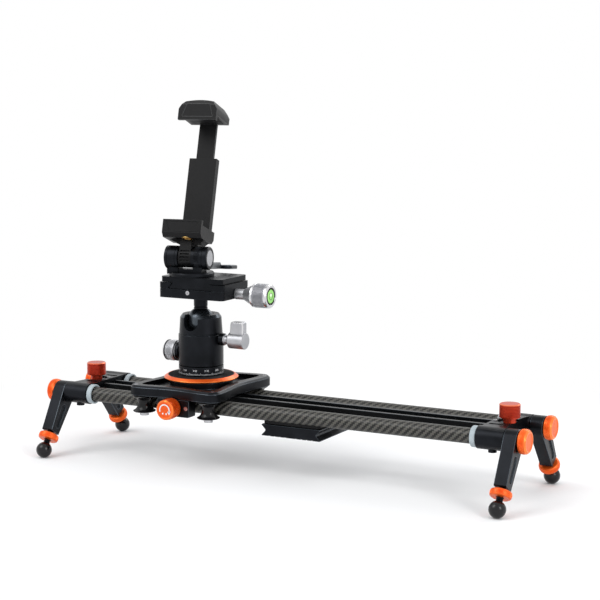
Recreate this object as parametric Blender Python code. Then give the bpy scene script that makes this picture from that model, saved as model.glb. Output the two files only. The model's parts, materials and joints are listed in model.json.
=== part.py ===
"""Camera slider: two carbon rails on folding legs, a rolling carriage, a ball head and a phone holder.

X runs along the rails, Y points to the rear and Z up. The origin lies on the ground, in the middle
between the four feet. Lengths are in metres and angles in radians.
"""

import math

import bmesh
import bpy
from mathutils import Matrix, Vector

MM = 0.001
GAP = 0.3 * MM          # clearance between pieces that touch or run on each other
COARSE = 12             # segments of small turned pieces
MEDIUM = 20
FINE = 32
EDGE = 0.6 * MM         # small chamfer on turned rims

# Rails
RAIL_SPACING = 50.8 * MM
TUBE_RADIUS = 5.5 * MM
TUBE_WALL = 1.5 * MM
INSERT_DEPTH = 12.0 * MM

# Legs and feet
LEG_REACH = 49.8 * MM   # from the tube's axis to the middle of the ball foot
LEG_SPLAY = math.radians(34.1)
LEG_THICKNESS = 9.5 * MM
LEG_HUB_RADIUS = 8.0 * MM
LEG_END_WIDTH = 10.5 * MM
LEG_END_AT = 35.0 * MM
LEG_POCKET_DEPTH = 1.0 * MM
LEG_POCKET_WIDTH = 5.0 * MM
LEG_POCKET_START = 11.5 * MM
LEG_POCKET_END = 31.0 * MM
LEG_STANCE = 371.5 * MM  # between the left and right legs' middles
FOOT_RADIUS = 6.0 * MM
FOOT_STUD_RADIUS = 2.5 * MM
FOOT_STUD_TOP = 20.0 * MM
FOOT_RETRACT = 2.0 * MM
LOCK_RING_RADIUS = 7.7 * MM
LOCK_RING_START = 36.5 * MM
LOCK_RING_WIDTH = 5.0 * MM

# Knobs on the tube ends
LEG_KNOB_RADIUS = 8.7 * MM
LEG_KNOB_LENGTH = 6.4 * MM
LEG_KNOB_STUD_RADIUS = 3.0 * MM
LEG_KNOB_STUD_LENGTH = 18.0 * MM

# End brackets
SLEEVE_WALL = 2.3 * MM
SLEEVE_LENGTH = 20.0 * MM
BUMPER_WALL = 1.7 * MM
BUMPER_LENGTH = 4.2 * MM
WEB_TOP_ABOVE_AXIS = 7.4 * MM
WEB_HEIGHT = 11.5 * MM
WEB_ARC_DEPTH = 4.0 * MM
TONGUE_LENGTH = 20.0 * MM
TONGUE_HEIGHT = 4.0 * MM
SLEEVE_BOSS_RADIUS = 3.0 * MM
SLEEVE_BOSS_DROP = 1.6 * MM

# Top knobs
TOP_KNOB_RADIUS = 7.4 * MM
TOP_KNOB_HEIGHT = 9.9 * MM
TOP_KNOB_NECK_RADIUS = 4.5 * MM
TOP_KNOB_NECK = 3.4 * MM
TOP_KNOB_STUD_RADIUS = 2.0 * MM
TOP_KNOB_STUD_LENGTH = 6.0 * MM
TOP_KNOB_POCKET_RADIUS = 8.6 * MM
TOP_KNOB_POCKET_DEPTH = 1.2 * MM
TOP_KNOB_INSET = 7.6 * MM   # from the bracket's outer end to the knob's axis

# Centre bar
BAR_WIDTH = 17.0 * MM
BAR_WALL = 2.2 * MM
BAR_FLOOR = 2.5 * MM
BAR_HEIGHT = 10.7 * MM

# Tripod plate under the middle of the rails
TRIPOD_LENGTH = 48.0 * MM
TRIPOD_INSIDE_RAILS = 0.8 * MM   # how much narrower the plate is than the rails' spacing
TRIPOD_HEIGHT = 8.5 * MM
TRIPOD_CENTRE = 14.0 * MM
TRIPOD_GROOVE = 3.0 * MM
TRIPOD_PAD_HEIGHT = 2.4 * MM
TRIPOD_PAD_INSET = 1.0 * MM
TRIPOD_THREAD_RADIUS = 3.2 * MM

# Carriage
CARRIAGE_CENTRE = -76.5 * MM
PLATE_LENGTH = 77.0 * MM
PLATE_BEYOND_ROLLER = 7.9 * MM   # from a roller's axis to the plate's long edge
PLATE_HEIGHT = 8.0 * MM
PLATE_ABOVE_TUBE = 1.0 * MM
PLATE_CORNER = 8.0 * MM
PLATE_WAIST = 3.6 * MM      # how far each side is drawn in at its middle
PLATE_RIM = 6.5 * MM
PLATE_CHAMFER = 1.6 * MM
PLATE_RECESS = 3.5 * MM
PLATE_BOSS_RADIUS = 24.0 * MM
PLATE_BOSS_RISE = 0.8 * MM
ROLLER_OFFSET = 28.0 * MM
ROLLER_WAIST = 4.9 * MM
ROLLER_FLANGE = 8.6 * MM
ROLLER_RIM = 1.0 * MM
BOLT_RADIUS = 2.0 * MM
BOLT_HEAD_RADIUS = 3.5 * MM
BOLT_HEAD_HEIGHT = 2.5 * MM
BOLT_IN_PLATE = 3.3 * MM

# Mounting disc on the carriage
DISC_RADIUS = 28.2 * MM
DISC_TOP_RADIUS = 25.6 * MM
DISC_FOOT_RADIUS = 23.5 * MM
DISC_HEIGHT = 3.6 * MM
DISC_LIP_AT = 1.2 * MM
DISC_LIP = 0.7 * MM
PAD_RADIUS = 24.8 * MM
PAD_HEIGHT = 1.2 * MM
PAD_SUNK = 0.8 * MM
DISC_STUD_RADIUS = 3.0 * MM
DISC_STUD_HEIGHT = 6.0 * MM

# Brake
BRAKE_LENGTH = 28.0 * MM
BRAKE_THICKNESS = 9.2 * MM
BRAKE_DROP = 13.0 * MM
BRAKE_KNOB_RADIUS = 7.8 * MM
BRAKE_KNOB_LENGTH = 11.4 * MM
BRAKE_SCREW_RADIUS = 2.5 * MM
BRAKE_SHOE_RADIUS = 4.0 * MM
BRAKE_SHOE_LENGTH = 3.6 * MM

# Ball head
HEAD_RADIUS = 17.0 * MM
HEAD_TOP_RADIUS = 15.6 * MM
PAN_HEIGHT = 6.4 * MM
PAN_SPIGOT_RADIUS = 10.0 * MM
PAN_SPIGOT_HEIGHT = 6.0 * MM
HEAD_HEIGHT = 38.8 * MM
HEAD_WAIST_AT = 23.5 * MM
BALL_RADIUS = 10.5 * MM
BALL_BELOW_TOP = 5.6 * MM
STEM_RADIUS = 5.25 * MM
STEM_LENGTH = 9.2 * MM
STEM_SCREW_RADIUS = 3.0 * MM
STEM_SCREW_LENGTH = 4.8 * MM
NOTCH_CLEARANCE = 0.75 * MM
NOTCH_BELOW_BALL = 6.2 * MM
LOCK_KNOB_AT = 20.2 * MM    # above the head body's foot
LOCK_KNOB_COLLAR_RADIUS = 4.6 * MM
LOCK_KNOB_COLLAR = 3.4 * MM
LOCK_KNOB_NECK_RADIUS = 3.9 * MM
LOCK_KNOB_RADIUS = 6.2 * MM
LOCK_KNOB_LENGTH = 18.2 * MM
LOCK_TAB_HEIGHT = 14.4 * MM
LOCK_TAB_THICKNESS = 6.4 * MM
LOCK_TAB_START = 5.2 * MM
LOCK_TAB_LEAN = 1.2 * MM
KNOB_SCREW_RADIUS = 2.5 * MM
KNOB_SCREW_LENGTH = 6.0 * MM
PAN_KNOB_AT = 8.6 * MM
PAN_KNOB_RADIUS = 8.0 * MM
PAN_KNOB_LENGTH = 11.0 * MM
PAN_KNOB_COLLAR_RADIUS = 6.6 * MM
PAN_KNOB_COLLAR = 2.2 * MM

# Quick release clamp and plate
CLAMP_LENGTH = 56.0 * MM
CLAMP_SHIFT = 3.0 * MM       # clamp's middle, to the right of the ball head's axis
CLAMP_DEPTH = 40.0 * MM
CLAMP_CORNER = 4.0 * MM
CLAMP_BASE = 6.7 * MM
CLAMP_LIP_HEIGHT = 4.8 * MM
JAW_THICKNESS = 6.0 * MM
DOVETAIL_WIDTH = 38.0 * MM
DOVETAIL_STEP = 2.5 * MM
DOVETAIL_FOOT = 1.0 * MM
DOVETAIL_HEIGHT = 4.9 * MM
RELEASE_FLANGE_LENGTH = 53.0 * MM
RELEASE_DEPTH = 38.0 * MM
RELEASE_FLANGE = 3.9 * MM
RELEASE_CORNER = 3.0 * MM
CLAMP_SCREW_RADIUS = 2.0 * MM
CLAMP_SCREW_LENGTH = 17.0 * MM
CLAMP_NECK_RADIUS = 4.0 * MM
CLAMP_NECK_LENGTH = 8.0 * MM
CLAMP_CONE_LENGTH = 7.0 * MM
CLAMP_KNOB_RADIUS = 9.0 * MM
CLAMP_DRUM_LENGTH = 14.5 * MM
BUBBLE_RADIUS = 6.2 * MM
BUBBLE_HEIGHT = 1.8 * MM

# Phone holder
HOLDER_X = -4.0 * MM        # hinge foot's middle, from the ball head's axis
HOLDER_Y = -6.0 * MM
HOLDER_YAW = math.radians(10.0)
HOLDER_LEAN = math.radians(18.0)
HINGE_FOOT_RADIUS = 17.0 * MM
HINGE_FOOT_HEIGHT = 3.0 * MM
BARREL_RADIUS = 8.7 * MM
BARREL_RISE = 13.7 * MM     # barrel's axis above the hinge foot's underside
BARREL_FORWARD = 4.0 * MM
LEFT_DRUM_LENGTH = 10.4 * MM
RIGHT_DRUM_LENGTH = 8.4 * MM
KNUCKLE_LEFT = -6.7 * MM
KNUCKLE_LENGTH = 10.2 * MM
KNUCKLE_RADIUS = 7.5 * MM
DRUM_WEB = 10.0 * MM
SADDLE_CLEARANCE = 0.8 * MM
PIN_RADIUS = 2.5 * MM
PIN_HEAD_RADIUS = 5.0 * MM
PIN_HEAD = 1.4 * MM
HINGE_SCREW_RADIUS = 3.0 * MM
HINGE_SCREW_LENGTH = 6.0 * MM
LEVER_CAP = 3.9 * MM
LEVER_ARM_LENGTH = 26.0 * MM
LEVER_ARM_HEIGHT = 5.0 * MM
LEVER_ARM_THICKNESS = 3.2 * MM
LEVER_SLOPE = math.radians(6.0)
LOOP_LENGTH = 20.0 * MM
LOOP_WIDTH = 10.0 * MM
LOOP_THICKNESS = 3.0 * MM
LOOP_BAND = 2.4 * MM
JAW_WIDTH = 31.0 * MM
JAW_SHIFT = -2.5 * MM        # jaw's middle, from the middle of the spine
JAW_FRONT = 16.0 * MM
JAW_BACK = 12.0 * MM
JAW_RISE = 12.5 * MM        # lower jaw's underside above the barrel's axis
JAW_HEIGHT = 9.5 * MM
JAW_LIP = 3.6 * MM
JAW_LIP_THICKNESS = 3.0 * MM
PHONE_GAP = 84.0 * MM
SPINE_WIDTH = 22.0 * MM
SPINE_THICKNESS = 6.0 * MM
SPINE_HEIGHT = 56.0 * MM
SLIDER_WIDTH = 14.0 * MM
SLIDER_THICKNESS = 2.6 * MM
SLIDER_OVERLAP = 27.0 * MM
SLIDER_TRAVEL_IN = 24.0 * MM
UPPER_JAW_WIDTH = 31.0 * MM
UPPER_JAW_HEIGHT = 13.0 * MM
UPPER_JAW_SHOULDER = 5.0 * MM  # height at which its sides start to lean in
UPPER_JAW_TOP_WIDTH = 23.0 * MM
UPPER_JAW_CROWN = 1.6 * MM
JAW_TAPER = 3.2 * MM
JAW_TAPER_WIDTH = 16.0 * MM
JAW_TAPER_FRONT = 4.2 * MM
INSERT_RADIUS = 4.3 * MM
INSERT_HEIGHT = 6.0 * MM
INSERT_BORE_RADIUS = 3.2 * MM
INSERT_FORWARD = 9.0 * MM

# Places that follow from the sizes above
RAIL_HEIGHT = LEG_REACH * math.cos(LEG_SPLAY) + FOOT_RADIUS
RAIL_Y = RAIL_SPACING / 2
LEG_X = LEG_STANCE / 2
LEG_INNER_X = LEG_X - LEG_THICKNESS / 2
LEG_OUTER_X = LEG_X + LEG_THICKNESS / 2
BRACKET_END_X = LEG_INNER_X - GAP
BRACKET_START_X = BRACKET_END_X - SLEEVE_LENGTH
TUBE_HALF = BRACKET_END_X
TOP_KNOB_X = BRACKET_END_X - TOP_KNOB_INSET
WEB_TOP = RAIL_HEIGHT + WEB_TOP_ABOVE_AXIS
BAR_TOP = RAIL_HEIGHT + TUBE_RADIUS
BAR_BOTTOM = BAR_TOP - BAR_HEIGHT
PLATE_BOTTOM = RAIL_HEIGHT + TUBE_RADIUS + PLATE_ABOVE_TUBE
PLATE_TOP = PLATE_BOTTOM + PLATE_HEIGHT
ROLLER_Y = RAIL_Y + TUBE_RADIUS + GAP + ROLLER_WAIST
ROLLER_HALF = PLATE_BOTTOM - GAP - RAIL_HEIGHT
PLATE_WIDTH = 2 * (ROLLER_Y + PLATE_BEYOND_ROLLER)
TRIPOD_WIDTH = RAIL_SPACING - TRIPOD_INSIDE_RAILS
DISC_BOTTOM = PLATE_TOP + PLATE_BOSS_RISE + GAP
PAD_BOTTOM = DISC_BOTTOM + DISC_HEIGHT - PAD_SUNK
PAN_BOTTOM = PAD_BOTTOM + PAD_HEIGHT + GAP
HEAD_BOTTOM = PAN_BOTTOM + PAN_HEIGHT + GAP
HEAD_TOP = HEAD_BOTTOM + HEAD_HEIGHT
BALL_Z = HEAD_TOP - BALL_BELOW_TOP
BALL_FLAT = math.sqrt(BALL_RADIUS ** 2 - STEM_RADIUS ** 2)
STEM_BOTTOM = BALL_Z + BALL_FLAT + GAP
CLAMP_BOTTOM = STEM_BOTTOM + STEM_LENGTH + GAP
GROOVE_FLOOR = CLAMP_BOTTOM + CLAMP_BASE
RELEASE_BOTTOM = GROOVE_FLOOR + GAP
RELEASE_TOP = RELEASE_BOTTOM + DOVETAIL_HEIGHT + RELEASE_FLANGE
CLAMP_SCREW_Z = CLAMP_BOTTOM + CLAMP_BASE / 2
CLAMP_X = CARRIAGE_CENTRE + CLAMP_SHIFT
HINGE_BOTTOM = RELEASE_TOP + GAP
SPINE_BACK = JAW_BACK - EDGE

MATERIALS = {
    "black_anodised": ((0.02, 0.021, 0.024, 1.0), 0.35, 1.0),
    "black_plastic": ((0.018, 0.018, 0.02, 1.0), 0.45, 0.0),
    "carbon_tube": ((0.05, 0.048, 0.044, 1.0), 0.4, 0.0),
    "orange_anodised": ((0.9, 0.2, 0.02, 1.0), 0.35, 1.0),
    "red_anodised": ((0.55, 0.06, 0.02, 1.0), 0.35, 1.0),
    "silver_aluminium": ((0.75, 0.76, 0.77, 1.0), 0.3, 1.0),
    "steel": ((0.5, 0.5, 0.52, 1.0), 0.3, 1.0),
    "rubber": ((0.015, 0.015, 0.015, 1.0), 0.8, 0.0),
    "pale_nylon": ((0.42, 0.46, 0.49, 1.0), 0.5, 0.0),
    "brass": ((0.7, 0.42, 0.15, 1.0), 0.3, 1.0),
    "green_vial": ((0.25, 0.8, 0.1, 1.0), 0.15, 0.0),
}


def clear_scene():
    for item in list(bpy.data.objects):
        bpy.data.objects.remove(item)


def make_material(name):
    colour, roughness, metallic = MATERIALS[name]
    material = bpy.data.materials.get(name) or bpy.data.materials.new(name)
    material.use_nodes = True
    shader = material.node_tree.nodes["Principled BSDF"]
    shader.inputs["Base Color"].default_value = colour
    shader.inputs["Roughness"].default_value = roughness
    shader.inputs["Metallic"].default_value = metallic
    return material


def lathe(profile, segments):
    """Turn a profile of (radius, height) points about Z: a chain from pole to pole, or a closed ring."""
    mesh = bmesh.new()
    rings = []
    for radius, height in profile:
        count = segments if radius > 0 else 1
        turn = [2 * math.pi * step / segments for step in range(count)]
        points = [(radius * math.cos(angle), radius * math.sin(angle), height) for angle in turn]
        rings.append([mesh.verts.new(point) for point in points])
    pairs = list(zip(rings, rings[1:]))
    if len(rings[0]) > 1:
        pairs.append((rings[-1], rings[0]))
    for first, second in pairs:
        for step in range(segments):
            following = step + 1
            corners = (
                first[step % len(first)],
                first[following % len(first)],
                second[following % len(second)],
                second[step % len(second)],
            )
            mesh.faces.new(list(dict.fromkeys(corners)))
    bmesh.ops.recalc_face_normals(mesh, faces=mesh.faces)
    return mesh


def prism(outline, low, high, plane="XY"):
    """Raise an outline from low to high along the direction that its plane leaves free."""
    place = {
        "XY": lambda a, b, c: (a, b, c),
        "XZ": lambda a, b, c: (a, c, b),
        "YZ": lambda a, b, c: (c, a, b),
    }[plane]
    mesh = bmesh.new()
    start = [mesh.verts.new(place(a, b, low)) for a, b in outline]
    end = [mesh.verts.new(place(a, b, high)) for a, b in outline]
    mesh.faces.new(start)
    mesh.faces.new(end)
    for index in range(len(outline)):
        following = (index + 1) % len(outline)
        mesh.faces.new((start[index], start[following], end[following], end[index]))
    bmesh.ops.recalc_face_normals(mesh, faces=mesh.faces)
    return mesh


def box(x_range, y_range, z_range):
    corners = [(x, y) for x, y in rectangle_points(x_range, y_range)]
    return prism(corners, z_range[0], z_range[1])


def rectangle_points(x_range, y_range):
    left, right = x_range
    near, far = y_range
    return [(left, near), (right, near), (right, far), (left, far)]


def cylinder(radius, low, high, segments):
    return lathe([(0, low), (radius, low), (radius, high), (0, high)], segments)


def arc(centre, radius, start, end, steps):
    """Points on a circle from one angle to another, both ends included."""
    angles = [start + (end - start) * step / steps for step in range(steps + 1)]
    return [(centre[0] + radius * math.cos(a), centre[1] + radius * math.sin(a)) for a in angles]


def chamfered_rectangle(length, width, corner):
    x, y = length / 2, width / 2
    return [
        (-x + corner, -y), (x - corner, -y), (x, -y + corner), (x, y - corner),
        (x - corner, y), (-x + corner, y), (-x, y - corner), (-x, -y + corner),
    ]


def waisted_rectangle(length, width, corner, waist, steps=4):
    """A rectangle with round corners whose sides curve inwards."""
    points = []
    quarter = math.pi / 2
    corners = [(1, -1), (1, 1), (-1, 1), (-1, -1)]
    for index, (sx, sy) in enumerate(corners):
        centre = (sx * (length / 2 - corner), sy * (width / 2 - corner))
        start = -quarter + index * quarter
        points += arc(centre, corner, start, start + quarter, steps)
        end = points[-1]
        following = corners[(index + 1) % len(corners)]
        next_centre = (following[0] * (length / 2 - corner), following[1] * (width / 2 - corner))
        normal = (math.cos(start + quarter), math.sin(start + quarter))
        target = (next_centre[0] + corner * normal[0], next_centre[1] + corner * normal[1])
        side_steps = 2 * steps
        for step in range(1, side_steps):
            share = step / side_steps
            draw = waist * math.sin(math.pi * share) ** 2
            points.append((
                end[0] + (target[0] - end[0]) * share - normal[0] * draw,
                end[1] + (target[1] - end[1]) * share - normal[1] * draw,
            ))
    return points


def turned(mesh, axis):
    """Turn a mesh made along Z so that it lies along X, -X or -Y."""
    turns = {
        "X": Matrix.Rotation(math.pi / 2, 4, "Y"),
        "-X": Matrix.Rotation(-math.pi / 2, 4, "Y"),
        "-Y": Matrix.Rotation(math.pi / 2, 4, "X"),
    }
    mesh.transform(turns[axis])
    return mesh


def moved(mesh, x=0.0, y=0.0, z=0.0):
    mesh.transform(Matrix.Translation((x, y, z)))
    return mesh


def add_object(name, mesh, parent=None, location=(0, 0, 0), rotation=(0, 0, 0)):
    data = bpy.data.meshes.new(name)
    mesh.to_mesh(data)
    mesh.free()
    item = bpy.data.objects.new(name, data)
    bpy.context.scene.collection.objects.link(item)
    item.location = location
    item.rotation_euler = rotation
    item.parent = parent
    return item


def add_piece(name, mesh, material, **place):
    piece = add_object(name, mesh, **place)
    piece.data.materials.append(make_material(material))
    piece.data.shade_smooth()
    piece.data.set_sharp_from_angle(angle=math.radians(35))
    return piece


def combine(piece, mesh, operation):
    """Add a Boolean whose operand is modelled in the piece's own frame."""
    operand = add_object(f"{piece.name}_{operation.lower()}_{len(piece.modifiers)}", mesh, parent=piece)
    operand.hide_render = True
    operand.display_type = "WIRE"
    modifier = piece.modifiers.new(operation.lower(), "BOOLEAN")
    modifier.operation = operation
    modifier.object = operand


def cut(piece, mesh):
    combine(piece, mesh, "DIFFERENCE")


def join(piece, mesh):
    combine(piece, mesh, "UNION")


def add_frame(name, location, rotation=(0, 0, 0), parent=None):
    frame = bpy.data.objects.new(name, None)
    bpy.context.scene.collection.objects.link(frame)
    frame.location = location
    frame.rotation_euler = rotation
    frame.parent = parent
    return frame


# ---------------------------------------------------------------- rails

def make_tubes():
    inner = TUBE_RADIUS - TUBE_WALL
    bore = LEG_KNOB_STUD_RADIUS + GAP
    profile = [
        (TUBE_RADIUS, -TUBE_HALF), (TUBE_RADIUS, TUBE_HALF),
        (bore, TUBE_HALF), (bore, TUBE_HALF - INSERT_DEPTH), (inner, TUBE_HALF - INSERT_DEPTH - EDGE),
        (inner, INSERT_DEPTH + EDGE - TUBE_HALF), (bore, INSERT_DEPTH - TUBE_HALF), (bore, -TUBE_HALF),
    ]
    for name, side in (("tube_front", -1), ("tube_rear", 1)):
        mesh = turned(lathe(profile, FINE), "X")
        add_piece(name, mesh, "carbon_tube", location=(0, side * RAIL_Y, RAIL_HEIGHT))


def make_centre_bar():
    half = BAR_WIDTH / 2
    inner = half - BAR_WALL
    outline = [
        (-half, 0), (half, 0), (half, BAR_HEIGHT), (inner, BAR_HEIGHT),
        (inner, BAR_FLOOR), (-inner, BAR_FLOOR), (-inner, BAR_HEIGHT), (-half, BAR_HEIGHT),
    ]
    end = BRACKET_START_X - GAP
    add_piece("centre_bar", prism(outline, -end, end, "YZ"), "black_anodised", location=(0, 0, BAR_BOTTOM))


def make_end_bracket(name, side):
    """Two sleeves over the tubes' ends, a web between them and a tongue in the centre bar."""
    sleeve_radius = TUBE_RADIUS + GAP + SLEEVE_WALL
    start, end = sorted((side * BRACKET_START_X, side * BRACKET_END_X))
    sleeves = [moved(turned(cylinder(sleeve_radius, start, end, FINE), "X"), y=s * RAIL_Y) for s in (-1, 1)]
    bracket = add_piece(name, sleeves[0], "black_anodised", location=(0, 0, RAIL_HEIGHT))
    join(bracket, sleeves[1])

    web_half = RAIL_Y - EDGE
    inner_x = BRACKET_START_X + EDGE
    outer_x = BRACKET_END_X - EDGE
    radius = (web_half ** 2 + WEB_ARC_DEPTH ** 2) / (2 * WEB_ARC_DEPTH)
    spread = math.asin(web_half / radius)
    centre = outer_x - WEB_ARC_DEPTH + radius
    outer = arc((centre, 0), radius, math.pi + spread, math.pi - spread, COARSE // 2)
    outline = [(side * x, y) for x, y in [(inner_x, -web_half)] + outer + [(inner_x, web_half)]]
    join(bracket, prism(outline, WEB_TOP_ABOVE_AXIS - WEB_HEIGHT, WEB_TOP_ABOVE_AXIS))

    tongue_half = BAR_WIDTH / 2 - BAR_WALL - GAP
    low = BAR_BOTTOM + BAR_FLOOR + GAP - RAIL_HEIGHT
    tongue_centre = inner_x - TONGUE_LENGTH + tongue_half
    round_end = arc((tongue_centre, 0), tongue_half, math.pi / 2, 1.5 * math.pi, COARSE // 2)
    root = inner_x + tongue_half
    tongue = [(side * x, y) for x, y in [(root, -tongue_half), (root, tongue_half)] + round_end]
    join(bracket, prism(tongue, low, low + TONGUE_HEIGHT))

    for s in (-1, 1):
        boss_top = SLEEVE_WALL / 2 - sleeve_radius
        boss = cylinder(SLEEVE_BOSS_RADIUS, -sleeve_radius - SLEEVE_BOSS_DROP, boss_top, COARSE)
        join(bracket, moved(boss, x=side * (BRACKET_START_X + SLEEVE_LENGTH / 2), y=s * RAIL_Y))
    for s in (-1, 1):
        hole = turned(cylinder(TUBE_RADIUS + GAP, start - MM, end + MM, FINE), "X")
        cut(bracket, moved(hole, y=s * RAIL_Y))
    pocket_floor = WEB_TOP_ABOVE_AXIS - TOP_KNOB_POCKET_DEPTH
    pocket = cylinder(TOP_KNOB_POCKET_RADIUS, pocket_floor, 2 * WEB_TOP_ABOVE_AXIS, MEDIUM)
    cut(bracket, moved(pocket, x=side * TOP_KNOB_X))
    hole_end = WEB_TOP_ABOVE_AXIS - WEB_HEIGHT - MM
    hole = cylinder(TOP_KNOB_STUD_RADIUS + GAP, hole_end, WEB_TOP_ABOVE_AXIS, COARSE)
    cut(bracket, moved(hole, x=side * TOP_KNOB_X))


def make_bumper_ring(name, side, row):
    inner = TUBE_RADIUS + GAP
    outer = inner + BUMPER_WALL
    end = BRACKET_START_X - GAP
    start = end - BUMPER_LENGTH
    profile = [
        (inner, start), (outer - EDGE, start), (outer, start + EDGE),
        (outer, end - EDGE), (outer - EDGE, end), (inner, end),
    ]
    mesh = turned(lathe(profile, MEDIUM), "X")
    rotation = (0, 0, 0 if side > 0 else math.pi)
    add_piece(name, mesh, "pale_nylon", location=(0, row * RAIL_Y, RAIL_HEIGHT), rotation=rotation)


def make_top_knob(name, side):
    foot = WEB_TOP - TOP_KNOB_POCKET_DEPTH + GAP
    top = TOP_KNOB_NECK + TOP_KNOB_HEIGHT
    profile = [
        (0, -TOP_KNOB_STUD_LENGTH), (TOP_KNOB_STUD_RADIUS, -TOP_KNOB_STUD_LENGTH), (TOP_KNOB_STUD_RADIUS, 0),
        (TOP_KNOB_NECK_RADIUS, 0), (TOP_KNOB_NECK_RADIUS, TOP_KNOB_NECK),
        (TOP_KNOB_RADIUS - EDGE, TOP_KNOB_NECK), (TOP_KNOB_RADIUS, TOP_KNOB_NECK + EDGE),
        (TOP_KNOB_RADIUS, top - EDGE), (TOP_KNOB_RADIUS - EDGE, top), (0, top),
    ]
    add_piece(name, lathe(profile, MEDIUM), "red_anodised", location=(side * TOP_KNOB_X, 0, foot))


def make_tripod_plate():
    half = TRIPOD_LENGTH / 2
    top = RAIL_HEIGHT - TUBE_RADIUS - GAP - TRIPOD_PAD_HEIGHT - GAP
    bottom = top - TRIPOD_HEIGHT
    middle = TRIPOD_HEIGHT / 2
    outline = [
        (-half, 0), (half, 0), (half, EDGE), (half - TRIPOD_GROOVE, middle - EDGE),
        (half - TRIPOD_GROOVE, middle + EDGE), (half, TRIPOD_HEIGHT - EDGE), (half, TRIPOD_HEIGHT),
        (-half, TRIPOD_HEIGHT), (-half, TRIPOD_HEIGHT - EDGE), (TRIPOD_GROOVE - half, middle + EDGE),
        (TRIPOD_GROOVE - half, middle - EDGE), (-half, EDGE),
    ]
    body = prism(outline, -TRIPOD_WIDTH / 2, TRIPOD_WIDTH / 2, "XZ")
    plate = add_piece("tripod_plate", body, "black_anodised", location=(TRIPOD_CENTRE, 0, bottom))
    cut(plate, cylinder(TRIPOD_THREAD_RADIUS, -MM, TRIPOD_HEIGHT + MM, MEDIUM))

    pad_outline = chamfered_rectangle(
        TRIPOD_LENGTH - 2 * TRIPOD_PAD_INSET, TRIPOD_WIDTH - 2 * TRIPOD_PAD_INSET, 2 * TRIPOD_PAD_INSET)
    pad = prism(pad_outline, 0, TRIPOD_PAD_HEIGHT)
    add_piece("tripod_pad", pad, "rubber", location=(TRIPOD_CENTRE, 0, top + GAP))


# ---------------------------------------------------------------- legs

def leg_frame(name, side, row):
    """Its origin is on the tube's axis and its -Z runs down the leg."""
    return add_frame(name, (side * LEG_X, row * RAIL_Y, RAIL_HEIGHT), (row * LEG_SPLAY, 0, 0))


def make_leg(name, frame):
    half_end = LEG_END_WIDTH / 2
    tangent = math.asin((LEG_HUB_RADIUS - half_end) / LEG_END_AT)
    hub = arc((0, 0), LEG_HUB_RADIUS, -tangent, math.pi + tangent, COARSE)
    chamfer = EDGE
    outline = hub + [
        (-half_end, chamfer - LEG_END_AT), (chamfer - half_end, -LEG_END_AT),
        (half_end - chamfer, -LEG_END_AT), (half_end, chamfer - LEG_END_AT),
    ]
    half = LEG_THICKNESS / 2
    leg = add_piece(name, prism(outline, -half, half, "YZ"), "black_anodised", parent=frame)
    cut(leg, turned(cylinder(LEG_KNOB_STUD_RADIUS + GAP, -LEG_THICKNESS, LEG_THICKNESS, COARSE), "X"))
    bore_top = FOOT_STUD_TOP - FOOT_RETRACT - GAP
    cut(leg, cylinder(FOOT_STUD_RADIUS + GAP, -LEG_END_AT - MM, -bore_top, COARSE))
    r = LEG_POCKET_WIDTH / 2
    pocket = arc((0, -LEG_POCKET_START - r), r, 0, math.pi, COARSE // 2)
    pocket += arc((0, -LEG_POCKET_END + r), r, math.pi, 2 * math.pi, COARSE // 2)
    for side in (-1, 1):
        floor, outside = sorted((side * (half - LEG_POCKET_DEPTH), side * LEG_THICKNESS))
        cut(leg, prism(pocket, floor, outside, "YZ"))


def make_foot(name, frame):
    """A rubber ball on a threaded stud."""
    r = FOOT_STUD_RADIUS
    start = math.acos(r / FOOT_RADIUS)
    steps = COARSE - 4
    ball = [(x, z - LEG_REACH) for x, z in arc((0, 0), FOOT_RADIUS, start, -math.pi / 2, steps)]
    profile = [(0, -FOOT_STUD_TOP), (r, -FOOT_STUD_TOP)] + ball[:-1] + [(0, -LEG_REACH - FOOT_RADIUS)]
    add_piece(name, lathe(profile, MEDIUM), "rubber", parent=frame)


def make_lock_ring(name, frame):
    bore = FOOT_STUD_RADIUS + GAP
    top, bottom = -LOCK_RING_START, -LOCK_RING_START - LOCK_RING_WIDTH
    r = LOCK_RING_RADIUS
    profile = [
        (bore, top), (r - EDGE, top), (r, top - EDGE), (r, bottom + EDGE), (r - EDGE, bottom), (bore, bottom),
    ]
    add_piece(name, lathe(profile, MEDIUM), "orange_anodised", parent=frame)


def make_leg_knob(name, side, row):
    stud, r = LEG_KNOB_STUD_RADIUS, LEG_KNOB_RADIUS
    profile = [
        (0, -LEG_KNOB_STUD_LENGTH), (stud, -LEG_KNOB_STUD_LENGTH), (stud, 0), (r - EDGE, 0), (r, EDGE),
        (r, LEG_KNOB_LENGTH - EDGE), (r - EDGE, LEG_KNOB_LENGTH), (0, LEG_KNOB_LENGTH),
    ]
    mesh = turned(lathe(profile, MEDIUM), "X" if side > 0 else "-X")
    location = (side * (LEG_OUTER_X + GAP), row * RAIL_Y, RAIL_HEIGHT)
    add_piece(name, mesh, "orange_anodised", location=location)


# ---------------------------------------------------------------- carriage

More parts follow.
